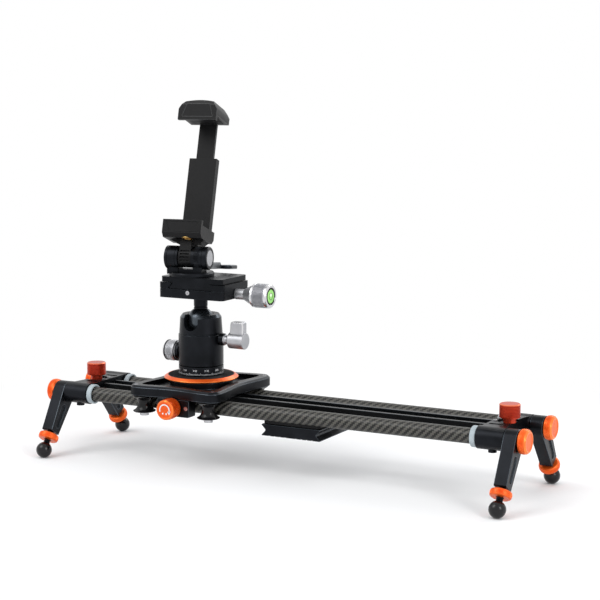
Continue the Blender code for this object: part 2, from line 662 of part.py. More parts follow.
def make_carriage_plate():
    low = waisted_rectangle(PLATE_LENGTH, PLATE_WIDTH, PLATE_CORNER, PLATE_WAIST)
    shrink = 2 * PLATE_CHAMFER
    high = waisted_rectangle(
        PLATE_LENGTH - shrink, PLATE_WIDTH - shrink, PLATE_CORNER - PLATE_CHAMFER, PLATE_WAIST)
    mesh = bmesh.new()
    levels = [(low, 0), (low, PLATE_HEIGHT - PLATE_CHAMFER), (high, PLATE_HEIGHT)]
    rings = [[mesh.verts.new((x, y, z)) for x, y in outline] for outline, z in levels]
    mesh.faces.new(rings[0])
    mesh.faces.new(rings[-1])
    for lower, upper in zip(rings, rings[1:]):
        for index in range(len(lower)):
            following = (index + 1) % len(lower)
            mesh.faces.new((lower[index], lower[following], upper[following], upper[index]))
    bmesh.ops.recalc_face_normals(mesh, faces=mesh.faces)
    plate = add_piece(
        "carriage_plate", mesh, "black_anodised", location=(CARRIAGE_CENTRE, 0, PLATE_BOTTOM))
    inset = 2 * (PLATE_RIM + PLATE_CHAMFER / 2)
    recess = waisted_rectangle(
        PLATE_LENGTH - inset, PLATE_WIDTH - inset, PLATE_CORNER / 2, PLATE_WAIST)
    cut(plate, prism(recess, PLATE_HEIGHT - PLATE_RECESS, 2 * PLATE_HEIGHT))
    join(plate, cylinder(PLATE_BOSS_RADIUS, PLATE_HEIGHT / 2, PLATE_HEIGHT + PLATE_BOSS_RISE, FINE))
    for sx in (-1, 1):
        for sy in (-1, 1):
            hole = cylinder(BOLT_RADIUS + GAP, -MM, BOLT_IN_PLATE + GAP, COARSE)
            cut(plate, moved(hole, x=sx * ROLLER_OFFSET, y=sy * ROLLER_Y))


def make_roller(name, sx, sy):
    """An hourglass wheel whose waist follows the tube."""
    follow = TUBE_RADIUS + GAP
    centre = ROLLER_WAIST + follow
    reach = math.acos((centre - ROLLER_FLANGE) / follow)
    steps = 4
    waist = []
    for step in range(steps + 1):
        angle = -reach + 2 * reach * step / steps
        waist.append((centre - follow * math.cos(angle), follow * math.sin(angle)))
    bore = BOLT_RADIUS + GAP
    profile = [(bore, -ROLLER_HALF), (ROLLER_FLANGE, -ROLLER_HALF)] + waist
    profile += [(ROLLER_FLANGE, ROLLER_HALF), (bore, ROLLER_HALF)]
    location = (CARRIAGE_CENTRE + sx * ROLLER_OFFSET, sy * ROLLER_Y, RAIL_HEIGHT)
    add_piece(f"roller_{name}", lathe(profile, MEDIUM), "black_plastic", location=location)

    foot = -ROLLER_HALF - GAP
    top = ROLLER_HALF + GAP + BOLT_IN_PLATE
    bolt = [
        (0, foot - BOLT_HEAD_HEIGHT), (BOLT_HEAD_RADIUS, foot - BOLT_HEAD_HEIGHT), (BOLT_HEAD_RADIUS, foot),
        (BOLT_RADIUS, foot), (BOLT_RADIUS, top), (0, top),
    ]
    add_piece(f"roller_bolt_{name}", lathe(bolt, COARSE), "steel", location=location)


def make_mounting_disc():
    seat = DISC_HEIGHT - PAD_SUNK - GAP
    stud_top = seat + PAD_HEIGHT + GAP + DISC_STUD_HEIGHT
    profile = [
        (0, 0), (DISC_FOOT_RADIUS, 0), (DISC_RADIUS, DISC_LIP_AT), (DISC_RADIUS, DISC_LIP_AT + DISC_LIP),
        (DISC_TOP_RADIUS, DISC_HEIGHT), (PAD_RADIUS + GAP, DISC_HEIGHT), (PAD_RADIUS + GAP, seat),
        (DISC_STUD_RADIUS, seat), (DISC_STUD_RADIUS, stud_top), (0, stud_top),
    ]
    add_piece("mounting_disc", lathe(profile, FINE), "orange_anodised", location=(CARRIAGE_CENTRE, 0, DISC_BOTTOM))
    hole = DISC_STUD_RADIUS + GAP
    pad = [(hole, 0), (PAD_RADIUS, 0), (PAD_RADIUS, PAD_HEIGHT), (hole, PAD_HEIGHT)]
    add_piece("mounting_pad", lathe(pad, FINE), "rubber", location=(CARRIAGE_CENTRE, 0, PAD_BOTTOM))


def make_brake():
    back = -(RAIL_Y + TUBE_RADIUS + 2 * GAP)
    front = back - BRAKE_THICKNESS
    top = PLATE_BOTTOM - GAP
    half = BRAKE_LENGTH / 2
    block = add_piece(
        "brake_block", box((-half, half), (front, back), (top - BRAKE_DROP - RAIL_HEIGHT, top - RAIL_HEIGHT)),
        "black_anodised", location=(CARRIAGE_CENTRE, 0, RAIL_HEIGHT))
    cut(block, turned(cylinder(BRAKE_SCREW_RADIUS + GAP, -front - BRAKE_THICKNESS / 2, -front + MM, COARSE), "-Y"))
    shoe_room = BRAKE_SHOE_LENGTH + GAP
    cut(block, turned(cylinder(BRAKE_SHOE_RADIUS + GAP, -back - MM, -back + shoe_room, COARSE), "-Y"))
    cut(block, turned(cylinder(BRAKE_SCREW_RADIUS + GAP, -back, -front, COARSE), "-Y"))

    shoe = turned(cylinder(BRAKE_SHOE_RADIUS, -back, -back + BRAKE_SHOE_LENGTH, COARSE), "-Y")
    add_piece("brake_shoe", shoe, "rubber", location=(CARRIAGE_CENTRE, 0, RAIL_HEIGHT))

    screw, r = BRAKE_SCREW_RADIUS, BRAKE_KNOB_RADIUS
    screw_length = BRAKE_THICKNESS - shoe_room
    profile = [
        (0, -screw_length), (screw, -screw_length), (screw, 0), (r - EDGE, 0), (r, EDGE),
        (r, BRAKE_KNOB_LENGTH - EDGE), (r - EDGE, BRAKE_KNOB_LENGTH), (0, BRAKE_KNOB_LENGTH),
    ]
    location = (CARRIAGE_CENTRE, front - GAP, RAIL_HEIGHT)
    add_piece("brake_knob", turned(lathe(profile, MEDIUM), "-Y"), "orange_anodised", location=location)


# ---------------------------------------------------------------- ball head

def make_pan_base():
    bore = DISC_STUD_RADIUS + GAP
    bore_top = DISC_STUD_HEIGHT + GAP
    r, spigot = HEAD_RADIUS, PAN_SPIGOT_RADIUS
    top = PAN_HEIGHT + PAN_SPIGOT_HEIGHT
    profile = [
        (0, bore_top), (bore, bore_top), (bore, 0), (r - EDGE, 0), (r, EDGE), (r, PAN_HEIGHT),
        (spigot, PAN_HEIGHT), (spigot, top), (0, top),
    ]
    add_piece("pan_base", lathe(profile, FINE), "black_anodised", location=(CARRIAGE_CENTRE, 0, PAN_BOTTOM))


def make_head_body():
    bore = PAN_SPIGOT_RADIUS + GAP
    bore_top = PAN_SPIGOT_HEIGHT + GAP
    ball_at = BALL_Z - HEAD_BOTTOM
    cavity = BALL_RADIUS + GAP
    mouth = math.asin((BALL_BELOW_TOP - EDGE) / cavity)
    socket = [(x, z + ball_at) for x, z in arc((0, 0), cavity, mouth, -math.pi / 2, COARSE - 2)]
    r, top = HEAD_RADIUS, HEAD_TOP_RADIUS
    profile = [
        (0, bore_top), (bore, bore_top), (bore, 0), (r, 0), (r, HEAD_WAIST_AT), (r - EDGE, HEAD_WAIST_AT + EDGE),
        (r - EDGE, HEAD_WAIST_AT + 2 * EDGE), (top, HEAD_HEIGHT - 4 * EDGE), (top - 3 * EDGE, HEAD_HEIGHT),
        (socket[0][0] + EDGE, HEAD_HEIGHT),
    ] + socket[:-1] + [(0, ball_at - cavity)]
    body = add_piece("head_body", lathe(profile, FINE), "black_anodised", location=(CARRIAGE_CENTRE, 0, HEAD_BOTTOM))
    half = STEM_RADIUS + NOTCH_CLEARANCE
    low = ball_at - NOTCH_BELOW_BALL + half
    notch = arc((0, low), half, math.pi, 2 * math.pi, COARSE // 2)
    notch += [(half, HEAD_HEIGHT + MM), (-half, HEAD_HEIGHT + MM)]
    cut(body, prism(notch, -2 * HEAD_RADIUS, -STEM_RADIUS, "XZ"))
    for axis, height in (("X", LOCK_KNOB_AT), ("-X", PAN_KNOB_AT)):
        hole = cylinder(KNOB_SCREW_RADIUS + GAP, HEAD_RADIUS - KNOB_SCREW_LENGTH - GAP, HEAD_RADIUS + MM, COARSE)
        cut(body, moved(turned(hole, axis), z=height))


def make_ball_and_stem():
    hole = STEM_SCREW_RADIUS + GAP
    floor = BALL_FLAT - STEM_SCREW_LENGTH
    start = math.acos(STEM_RADIUS / BALL_RADIUS)
    sphere = arc((0, 0), BALL_RADIUS, start, -math.pi / 2, COARSE - 2)
    profile = [(0, floor), (hole, floor), (hole, BALL_FLAT)] + sphere[:-1] + [(0, -BALL_RADIUS)]
    add_piece("head_ball", lathe(profile, FINE), "black_anodised", location=(CARRIAGE_CENTRE, 0, BALL_Z))

    screw = STEM_SCREW_LENGTH - GAP
    top = STEM_LENGTH
    profile = [
        (0, -screw), (STEM_SCREW_RADIUS, -screw), (STEM_SCREW_RADIUS, 0), (STEM_RADIUS, 0), (STEM_RADIUS, top),
        (STEM_SCREW_RADIUS, top), (STEM_SCREW_RADIUS, top + screw), (0, top + screw),
    ]
    add_piece("head_stem", lathe(profile, MEDIUM), "black_anodised", location=(CARRIAGE_CENTRE, 0, STEM_BOTTOM))


def make_lock_knob():
    screw, collar = KNOB_SCREW_RADIUS, LOCK_KNOB_COLLAR_RADIUS
    neck, hub = LOCK_KNOB_NECK_RADIUS, LOCK_KNOB_RADIUS
    start = LOCK_KNOB_COLLAR
    end = start + LOCK_KNOB_LENGTH
    tab_start = start + LOCK_TAB_START
    profile = [
        (0, -KNOB_SCREW_LENGTH), (screw, -KNOB_SCREW_LENGTH), (screw, 0), (collar, 0), (collar, start),
        (neck, start), (neck, tab_start), (hub, tab_start), (hub, end - EDGE), (hub - EDGE, end), (0, end),
    ]
    location = (CARRIAGE_CENTRE + HEAD_RADIUS + GAP, 0, HEAD_BOTTOM + LOCK_KNOB_AT)
    knob = add_piece(
        "lock_knob", turned(lathe(profile, MEDIUM), "X"), "silver_aluminium", location=location)
    tab_foot = tab_start + EDGE
    outline = [
        (tab_foot, 0), (end - EDGE, 0), (end - EDGE, LOCK_TAB_HEIGHT), (tab_foot + LOCK_TAB_LEAN, LOCK_TAB_HEIGHT),
    ]
    join(knob, prism(outline, -LOCK_TAB_THICKNESS / 2, LOCK_TAB_THICKNESS / 2, "XZ"))


def make_pan_knob():
    screw, collar, r = KNOB_SCREW_RADIUS, PAN_KNOB_COLLAR_RADIUS, PAN_KNOB_RADIUS
    start = PAN_KNOB_COLLAR
    end = start + PAN_KNOB_LENGTH
    profile = [
        (0, -KNOB_SCREW_LENGTH), (screw, -KNOB_SCREW_LENGTH), (screw, 0), (collar, 0), (collar, start),
        (r - EDGE, start), (r, start + EDGE), (r, end - 2 * EDGE), (r - 2 * EDGE, end), (0, end),
    ]
    location = (CARRIAGE_CENTRE - HEAD_RADIUS - GAP, 0, HEAD_BOTTOM + PAN_KNOB_AT)
    add_piece("pan_knob", turned(lathe(profile, MEDIUM), "-X"), "silver_aluminium", location=location)


# ---------------------------------------------------------------- quick release

def plan_of_clamp():
    return chamfered_rectangle(CLAMP_LENGTH, CLAMP_DEPTH, CLAMP_CORNER)


def make_clamp():
    """A fixed body with one lip, and a jaw with the other lip that slides out along X."""
    half = CLAMP_LENGTH / 2
    jaw_start = half - JAW_THICKNESS
    wide = DOVETAIL_WIDTH / 2 + GAP
    narrow = wide - DOVETAIL_STEP
    floor = CLAMP_BASE
    foot = floor + DOVETAIL_FOOT + GAP
    neck = foot + DOVETAIL_STEP
    lip = floor + CLAMP_LIP_HEIGHT
    fixed = [
        (-half, 0), (jaw_start - GAP, 0), (jaw_start - GAP, floor), (-wide, floor), (-wide, foot),
        (-narrow, neck), (-narrow, lip), (-half, lip),
    ]
    moving = [
        (jaw_start, 0), (half, 0), (half, lip), (narrow, lip), (narrow, neck), (wide, foot),
        (wide, floor), (jaw_start, floor),
    ]
    place = (CLAMP_X, 0, CLAMP_BOTTOM)
    plan = plan_of_clamp()
    screw_z = CLAMP_BASE / 2
    for name, outline in (("clamp_body", fixed), ("clamp_jaw", moving)):
        mesh = prism(outline, -CLAMP_DEPTH / 2, CLAMP_DEPTH / 2, "XZ")
        piece = add_piece(name, mesh, "black_anodised", location=place)
        combine(piece, prism(plan, -MM, lip + MM), "INTERSECT")
        bore = cylinder(CLAMP_SCREW_RADIUS + GAP, half - CLAMP_SCREW_LENGTH - GAP, half + MM, COARSE)
        cut(piece, moved(turned(bore, "X"), z=screw_z))
    body = bpy.data.objects["clamp_body"]
    cut(body, moved(cylinder(STEM_SCREW_RADIUS + GAP, -MM, STEM_SCREW_LENGTH + GAP, COARSE), x=-CLAMP_SHIFT))


def make_clamp_knob():
    screw, neck, r = CLAMP_SCREW_RADIUS, CLAMP_NECK_RADIUS, CLAMP_KNOB_RADIUS
    cone_end = CLAMP_NECK_LENGTH + CLAMP_CONE_LENGTH
    end = cone_end + CLAMP_DRUM_LENGTH
    cup = BUBBLE_RADIUS + GAP
    cup_floor = end - BUBBLE_HEIGHT - GAP
    screw_end = GAP - CLAMP_SCREW_LENGTH
    profile = [
        (0, screw_end), (screw, screw_end), (screw, 0), (neck, 0), (neck, CLAMP_NECK_LENGTH),
        (r - EDGE, cone_end), (r, cone_end + EDGE), (r, end - EDGE), (r - EDGE, end), (cup, end),
        (cup, cup_floor), (0, cup_floor),
    ]
    location = (CLAMP_X + CLAMP_LENGTH / 2 + GAP, 0, CLAMP_SCREW_Z)
    add_piece("clamp_knob", turned(lathe(profile, MEDIUM), "X"), "silver_aluminium", location=location)
    vial = cylinder(BUBBLE_RADIUS, cup_floor + GAP, end, MEDIUM)
    add_piece("bubble_level", turned(vial, "X"), "green_vial", location=location)


def make_release_plate():
    wide = DOVETAIL_WIDTH / 2
    narrow = wide - DOVETAIL_STEP
    flange = RELEASE_FLANGE_LENGTH / 2
    foot = DOVETAIL_FOOT
    neck = foot + DOVETAIL_STEP
    under = DOVETAIL_HEIGHT
    top = under + RELEASE_FLANGE
    right = [(wide, 0), (wide, foot), (narrow, neck), (narrow, under), (flange, under), (flange, top)]
    outline = right + [(-x, z) for x, z in reversed(right)]
    mesh = prism(outline, -RELEASE_DEPTH / 2, RELEASE_DEPTH / 2, "XZ")
    location = (CLAMP_X, 0, RELEASE_BOTTOM)
    plate = add_piece("release_plate", mesh, "black_anodised", location=location)
    plan = chamfered_rectangle(RELEASE_FLANGE_LENGTH, RELEASE_DEPTH, RELEASE_CORNER)
    combine(plate, prism(plan, -MM, top + MM), "INTERSECT")
    bore = cylinder(HINGE_SCREW_RADIUS + GAP, top - HINGE_SCREW_LENGTH, top + MM, COARSE)
    cut(plate, moved(bore, x=HOLDER_X - CLAMP_SHIFT, y=HOLDER_Y))


# ---------------------------------------------------------------- phone holder

def make_hinge_base(frame):
    """A round foot with two drums that carry the hinge pin."""
    foot = cylinder(HINGE_FOOT_RADIUS, 0, HINGE_FOOT_HEIGHT, FINE)
    base = add_piece("hinge_base", foot, "black_anodised", parent=frame)
    join(base, cylinder(HINGE_SCREW_RADIUS, GAP - HINGE_SCREW_LENGTH, HINGE_FOOT_HEIGHT / 2, COARSE))
    knuckle_end = KNUCKLE_LEFT + KNUCKLE_LENGTH
    drums = (
        (KNUCKLE_LEFT - GAP - LEFT_DRUM_LENGTH, KNUCKLE_LEFT - GAP),
        (knuckle_end + GAP, knuckle_end + GAP + RIGHT_DRUM_LENGTH),
    )
    for start, end in drums:
        drum = turned(cylinder(BARREL_RADIUS, start, end, MEDIUM), "X")
        join(base, moved(drum, y=-BARREL_FORWARD, z=BARREL_RISE))
        web_range = (max(start, -HINGE_FOOT_RADIUS) + EDGE, end - EDGE)
        half = DRUM_WEB / 2
        web_depth = (-BARREL_FORWARD - half, -BARREL_FORWARD + half)
        join(base, box(web_range, web_depth, (HINGE_FOOT_HEIGHT / 2, BARREL_RISE - EDGE)))
    half = DRUM_WEB / 2 - EDGE
    saddle_depth = (-BARREL_FORWARD - half, -BARREL_FORWARD + half)
    saddle_top = BARREL_RISE - KNUCKLE_RADIUS - SADDLE_CLEARANCE
    saddle_range = (KNUCKLE_LEFT - EDGE, knuckle_end + EDGE)
    join(base, box(saddle_range, saddle_depth, (HINGE_FOOT_HEIGHT / 2, saddle_top)))
    reach = 4 * BARREL_RADIUS
    bore = turned(cylinder(PIN_RADIUS + GAP, -reach, reach, COARSE), "X")
    cut(base, moved(bore, y=-BARREL_FORWARD, z=BARREL_RISE))


def make_hinge_pin(barrel):
    head_end = KNUCKLE_LEFT - 2 * GAP - LEFT_DRUM_LENGTH
    cap_start = lever_start()
    end = cap_start + LEVER_CAP - 2 * GAP - EDGE
    profile = [
        (0, head_end - PIN_HEAD), (PIN_HEAD_RADIUS, head_end - PIN_HEAD), (PIN_HEAD_RADIUS, head_end),
        (PIN_RADIUS, head_end), (PIN_RADIUS, end), (0, end),
    ]
    add_piece("hinge_pin", turned(lathe(profile, COARSE), "X"), "steel", parent=barrel)


def lever_start():
    return KNUCKLE_LEFT + KNUCKLE_LENGTH + 2 * GAP + RIGHT_DRUM_LENGTH


def make_hinge_lever(barrel):
    """An end cap on the pin with a flat arm that ends in a finger loop."""
    start = lever_start()
    end = start + LEVER_CAP
    bore = PIN_RADIUS + GAP
    bore_end = end - EDGE - GAP
    r = BARREL_RADIUS
    profile = [
        (0, bore_end), (bore, bore_end), (bore, start), (r, start), (r, end - EDGE), (r - EDGE, end), (0, end),
    ]
    frame = add_frame("lever_frame", (0, 0, 0), (-LEVER_SLOPE, 0, 0), parent=barrel)
    lever = add_piece("hinge_lever", turned(lathe(profile, MEDIUM), "X"), "black_anodised", parent=frame)
    arm_low = EDGE - BARREL_RADIUS
    arm_high = arm_low + LEVER_ARM_HEIGHT
    taper = LEVER_ARM_HEIGHT - LOOP_THICKNESS
    arm = [
        (0, arm_low), (LEVER_ARM_LENGTH, arm_low), (LEVER_ARM_LENGTH, arm_low + LOOP_THICKNESS),
        (LEVER_ARM_LENGTH - taper, arm_high), (0, arm_high),
    ]
    arm_start = end - LEVER_ARM_THICKNESS
    join(lever, prism(arm, arm_start, end - EDGE, "YZ"))
    r = LOOP_WIDTH / 2
    near = LEVER_ARM_LENGTH - 2 * EDGE
    middle_x = arm_start + r
    loop = loop_outline(middle_x, near, LOOP_LENGTH, r)
    join(lever, prism(loop, arm_low, arm_low + LOOP_THICKNESS))
    hole = loop_outline(middle_x, near + LOOP_BAND, LOOP_LENGTH - 2 * LOOP_BAND, r - LOOP_BAND)
    cut(lever, prism(hole, arm_low - MM, arm_low + LOOP_THICKNESS + MM))


def loop_outline(middle_x, near_y, length, radius):
    steps = COARSE // 2
    near = arc((middle_x, near_y + radius), radius, math.pi, 2 * math.pi, steps)
    far = arc((middle_x, near_y + length - radius), radius, 0, math.pi, steps)
    return near + far


def jaw_outline(front, back, low, high, lip, lip_thickness):
    """Side view of a jaw in Y and Z: a block whose front edge rises in a lip and whose heel is chamfered."""
    chamfer = (high - low) / 3
    return [
        (-front + chamfer, low), (back - chamfer, low), (back, low + chamfer), (back, high),
        (-front + lip_thickness, high), (-front + lip_thickness, high + lip), (-front + EDGE, high + lip),
        (-front, high + lip - EDGE), (-front, low + chamfer),
    ]


def make_lower_jaw(lean):
    knuckle_end = KNUCKLE_LEFT + KNUCKLE_LENGTH
    knuckle = turned(cylinder(KNUCKLE_RADIUS, KNUCKLE_LEFT, knuckle_end, MEDIUM), "X")
    jaw = add_piece("lower_jaw", knuckle, "black_plastic", parent=lean)
    top = JAW_RISE + JAW_HEIGHT
    neck_half = KNUCKLE_RADIUS - EDGE
    neck_range = (KNUCKLE_LEFT + EDGE, knuckle_end - EDGE)
    join(jaw, box(neck_range, (-neck_half, neck_half), (EDGE, JAW_RISE + JAW_HEIGHT / 2)))
    outline = jaw_outline(JAW_FRONT, JAW_BACK, JAW_RISE, top, JAW_LIP, JAW_LIP_THICKNESS)
    half = JAW_WIDTH / 2
    join(jaw, prism(outline, JAW_SHIFT - half, JAW_SHIFT + half, "YZ"))
    taper_low = JAW_RISE - JAW_TAPER
    taper_half = JAW_TAPER_WIDTH / 2
    taper = [
        (-taper_half, taper_low), (taper_half, taper_low), (half + JAW_SHIFT - EDGE, JAW_RISE + EDGE),
        (JAW_SHIFT - half + EDGE, JAW_RISE + EDGE),
    ]
    join(jaw, prism(taper, -JAW_TAPER_FRONT, neck_half - EDGE, "XZ"))
    spine_half = SPINE_WIDTH / 2
    spine_depth = (SPINE_BACK - SPINE_THICKNESS, SPINE_BACK)
    join(jaw, box((-spine_half, spine_half), spine_depth, (top - JAW_HEIGHT / 2, top + SPINE_HEIGHT)))
    groove_half = SLIDER_WIDTH / 2 + GAP
    groove_floor = SPINE_BACK - SLIDER_THICKNESS - 2 * GAP
    slider_bottom = top + SPINE_HEIGHT - SLIDER_OVERLAP
    groove_bottom = slider_bottom - SLIDER_TRAVEL_IN - GAP
    cut(jaw, box((-groove_half, groove_half), (groove_floor, JAW_BACK + MM), (groove_bottom, top + SPINE_HEIGHT + MM)))
    bore = PIN_RADIUS + GAP
    cut(jaw, turned(cylinder(bore, 2 * KNUCKLE_LEFT, 2 * knuckle_end, COARSE), "X"))
    seat = cylinder(INSERT_RADIUS + GAP, JAW_RISE - MM, JAW_RISE + INSERT_HEIGHT + GAP, MEDIUM)
    cut(jaw, moved(seat, y=-INSERT_FORWARD))


def make_thread_insert(lean):
    ring = [
        (INSERT_BORE_RADIUS, 0), (INSERT_RADIUS, 0), (INSERT_RADIUS, INSERT_HEIGHT),
        (INSERT_BORE_RADIUS, INSERT_HEIGHT),
    ]
    mesh = moved(lathe(ring, MEDIUM), y=-INSERT_FORWARD, z=JAW_RISE)
    add_piece("thread_insert", mesh, "brass", parent=lean)


def make_upper_jaw(lean):
    """A wide jaw on a flat slider that runs in the spine's groove."""
    lower_top = JAW_RISE + JAW_HEIGHT
    low = lower_top + PHONE_GAP
    high = low + UPPER_JAW_HEIGHT
    upright = jaw_outline(JAW_FRONT, JAW_BACK, low, high, JAW_LIP, JAW_LIP_THICKNESS)
    outline = [(y, low + high - z) for y, z in upright]
    half = UPPER_JAW_WIDTH / 2
    jaw = add_piece("upper_jaw", prism(outline, -half, half, "YZ"), "black_plastic", parent=lean)
    top_half = UPPER_JAW_TOP_WIDTH / 2
    crown_radius = (top_half ** 2 + UPPER_JAW_CROWN ** 2) / (2 * UPPER_JAW_CROWN)
    spread = math.asin(top_half / crown_radius)
    crown = arc((0, high - crown_radius), crown_radius, math.pi / 2 - spread, math.pi / 2 + spread, COARSE // 2)
    shoulder = low + UPPER_JAW_SHOULDER
    wide = half + MM
    front = [(-wide, low - 2 * JAW_LIP), (wide, low - 2 * JAW_LIP), (wide, low), (half, shoulder)]
    face = front + crown + [(-half, shoulder), (-wide, low)]
    combine(jaw, prism(face, -2 * JAW_FRONT, 2 * JAW_FRONT, "XZ"), "INTERSECT")
    slider_half = SLIDER_WIDTH / 2
    slider_bottom = lower_top + SPINE_HEIGHT - SLIDER_OVERLAP
    back = SPINE_BACK - GAP
    join(jaw, box(
        (-slider_half, slider_half), (back - SLIDER_THICKNESS, back), (slider_bottom, low + UPPER_JAW_HEIGHT / 2)))


def main():
    clear_scene()
    make_tubes()
    make_centre_bar()
    make_tripod_plate()
    for side_name, side in (("left", -1), ("right", 1)):
        make_end_bracket(f"end_bracket_{side_name}", side)
        make_top_knob(f"top_knob_{side_name}", side)
        for row_name, row in (("front", -1), ("rear", 1)):
            corner = f"{row_name}_{side_name}"
            make_bumper_ring(f"bumper_ring_{corner}", side, row)
            frame = leg_frame(f"leg_frame_{corner}", side, row)
            make_leg(f"leg_{corner}", frame)
            make_foot(f"foot_{corner}", frame)
            make_lock_ring(f"lock_ring_{corner}", frame)
            make_leg_knob(f"leg_knob_{corner}", side, row)
            make_roller(corner, side, row)
    make_carriage_plate()
    make_mounting_disc()
    make_brake()
    make_pan_base()
    make_head_body()
    make_ball_and_stem()
    make_lock_knob()
    make_pan_knob()
    make_clamp()
    make_clamp_knob()
    make_release_plate()

    foot_place = Vector((CARRIAGE_CENTRE + HOLDER_X, HOLDER_Y, HINGE_BOTTOM))
    holder = add_frame("holder_frame", foot_place, (0, 0, HOLDER_YAW))
    barrel = add_frame("barrel_frame", (0, -BARREL_FORWARD, BARREL_RISE), parent=holder)
    lean = add_frame("lean_frame", (0, 0, 0), (-HOLDER_LEAN, 0, 0), parent=barrel)
    make_hinge_base(holder)
    make_hinge_pin(barrel)
    make_hinge_lever(barrel)
    make_lower_jaw(lean)
    make_thread_insert(lean)
    make_upper_jaw(lean)


main()
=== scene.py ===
# %% [markdown]
# # A camera slider with a ball head and a phone holder
# The slider is two carbon tubes on four folding legs. A plate rolls along the tubes and carries a ball
# head, a quick-release clamp and a phone holder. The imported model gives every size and
# place, so each cell below asks it where a piece is, makes a finer version there and dresses it.

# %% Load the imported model
import json
import math

import bmesh
import bpy
from mathutils import Matrix, Vector


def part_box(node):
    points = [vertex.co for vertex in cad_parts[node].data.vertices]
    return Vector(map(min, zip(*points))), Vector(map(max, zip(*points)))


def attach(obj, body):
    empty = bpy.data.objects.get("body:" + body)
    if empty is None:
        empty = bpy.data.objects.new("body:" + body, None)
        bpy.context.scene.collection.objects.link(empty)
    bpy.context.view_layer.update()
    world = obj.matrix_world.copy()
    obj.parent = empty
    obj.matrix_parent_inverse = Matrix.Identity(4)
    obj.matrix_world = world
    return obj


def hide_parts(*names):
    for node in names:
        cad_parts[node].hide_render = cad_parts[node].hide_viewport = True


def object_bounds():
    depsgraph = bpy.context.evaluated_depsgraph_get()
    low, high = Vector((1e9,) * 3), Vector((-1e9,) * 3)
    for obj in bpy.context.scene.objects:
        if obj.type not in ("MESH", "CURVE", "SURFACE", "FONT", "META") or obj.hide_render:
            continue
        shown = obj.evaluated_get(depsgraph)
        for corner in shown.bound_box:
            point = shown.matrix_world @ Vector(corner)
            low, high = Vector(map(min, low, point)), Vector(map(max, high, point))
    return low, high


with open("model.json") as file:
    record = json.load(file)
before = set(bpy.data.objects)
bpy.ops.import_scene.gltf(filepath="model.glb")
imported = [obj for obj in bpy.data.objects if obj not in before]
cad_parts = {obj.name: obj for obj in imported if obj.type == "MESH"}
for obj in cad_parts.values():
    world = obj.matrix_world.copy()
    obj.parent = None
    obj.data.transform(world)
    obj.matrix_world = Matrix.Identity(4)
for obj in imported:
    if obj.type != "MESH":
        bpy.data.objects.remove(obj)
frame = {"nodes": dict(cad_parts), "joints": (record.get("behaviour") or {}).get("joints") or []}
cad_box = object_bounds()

MM = 0.001
joints = {joint["name"]: joint for joint in frame["joints"]}
print("pieces in the model:", len(frame["nodes"]), "joints:", len(joints))

# %% [markdown]
# ## Places
# A node's box gives its lowest and highest corner. Most pieces here are turned or symmetric, so the
# middle of the box and half its size are all that is needed to set a piece on its axis.

# %% Boxes and middles
def middle(node):
    low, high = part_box(node)
    return (low + high) / 2


def half_size(node):
    low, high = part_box(node)
    return (high - low) / 2


def joint_place(name):
    return Vector(joints[name]["pos_m"])


corners = [("front", "left"), ("front", "right"), ("rear", "left"), ("rear", "right")]
rail_y = middle("tube_rear").y
rail_z = middle("tube_rear").z
tube_radius = half_size("tube_rear").y
slide_x = middle("mounting_disc").x
print("rails at y", round(rail_y, 4), "z", round(rail_z, 4), "carriage at x", round(slide_x, 4))

# %% [markdown]
# ## Camera
# A long lens stands to the right of the slider, in front of it and a little above, so the near leg is
# large and the rails run back to the left. Its aim is kept as two angles, which are easier to read
# than a rotation matrix.

# %% Camera
camera_place = Vector((0.58284, -1.07279, 0.29843))
camera_turn = math.radians(28.16)
camera_drop = math.radians(7.96)
back = Vector((
    math.sin(camera_turn) * math.cos(camera_drop),
    -math.cos(camera_turn) * math.cos(camera_drop),
    math.sin(camera_drop),
))
lens = bpy.data.cameras.new("camera")
lens.lens = 100.8
lens.sensor_width = 36.0
lens.clip_end = 50.0
camera = bpy.data.objects.new("camera", lens)
bpy.context.scene.collection.objects.link(camera)
camera.location = camera_place
camera.rotation_euler = (-back).to_track_quat("-Z", "Y").to_euler()
bpy.context.scene.camera = camera
bpy.context.scene.view_settings.view_transform = "Standard"
print("camera looks along", tuple(round(value, 3) for value in -back))

# %% [markdown]
# ## Node helpers
# Every material and every Geometry Nodes tree is a graph. A few small helpers keep the cells short: they
# add a node with its fields and inputs, join two sockets, or do one sum.

# %% Adding and joining nodes
def add_node(tree, kind, **fields):
    item = tree.nodes.new(kind)
    for name, value in fields.items():
        setattr(item, name, value)
    return item


def wire(tree, source, target):
    tree.links.new(source, target)


def make_node(tree, kind, inputs, **fields):
    """A node with its inputs given: a socket is joined to the input, and a plain value is set on it."""
    item = add_node(tree, kind, **fields)
    for key, value in inputs.items():
        if isinstance(value, bpy.types.NodeSocket):
            wire(tree, value, item.inputs[key])
        else:
            item.inputs[key].default_value = value
    return item


def maths(tree, operation, first, second=None):
    """One Math node. A number is set on its socket and a socket is joined to it."""
    item = add_node(tree, "ShaderNodeMath", operation=operation)
    for index, value in enumerate((first, second)):
        if value is None:
            continue
        if isinstance(value, (int, float)):
            item.inputs[index].default_value = value
        else:
            wire(tree, value, item.inputs[index])
    return item.outputs[0]


# %% [markdown]
# ## Light and floor
# Product light is soft and comes from all round. The world gives most of it. Rays that the camera, a
# gloss or a glass sends out find plain white, so metal mirrors a white studio.

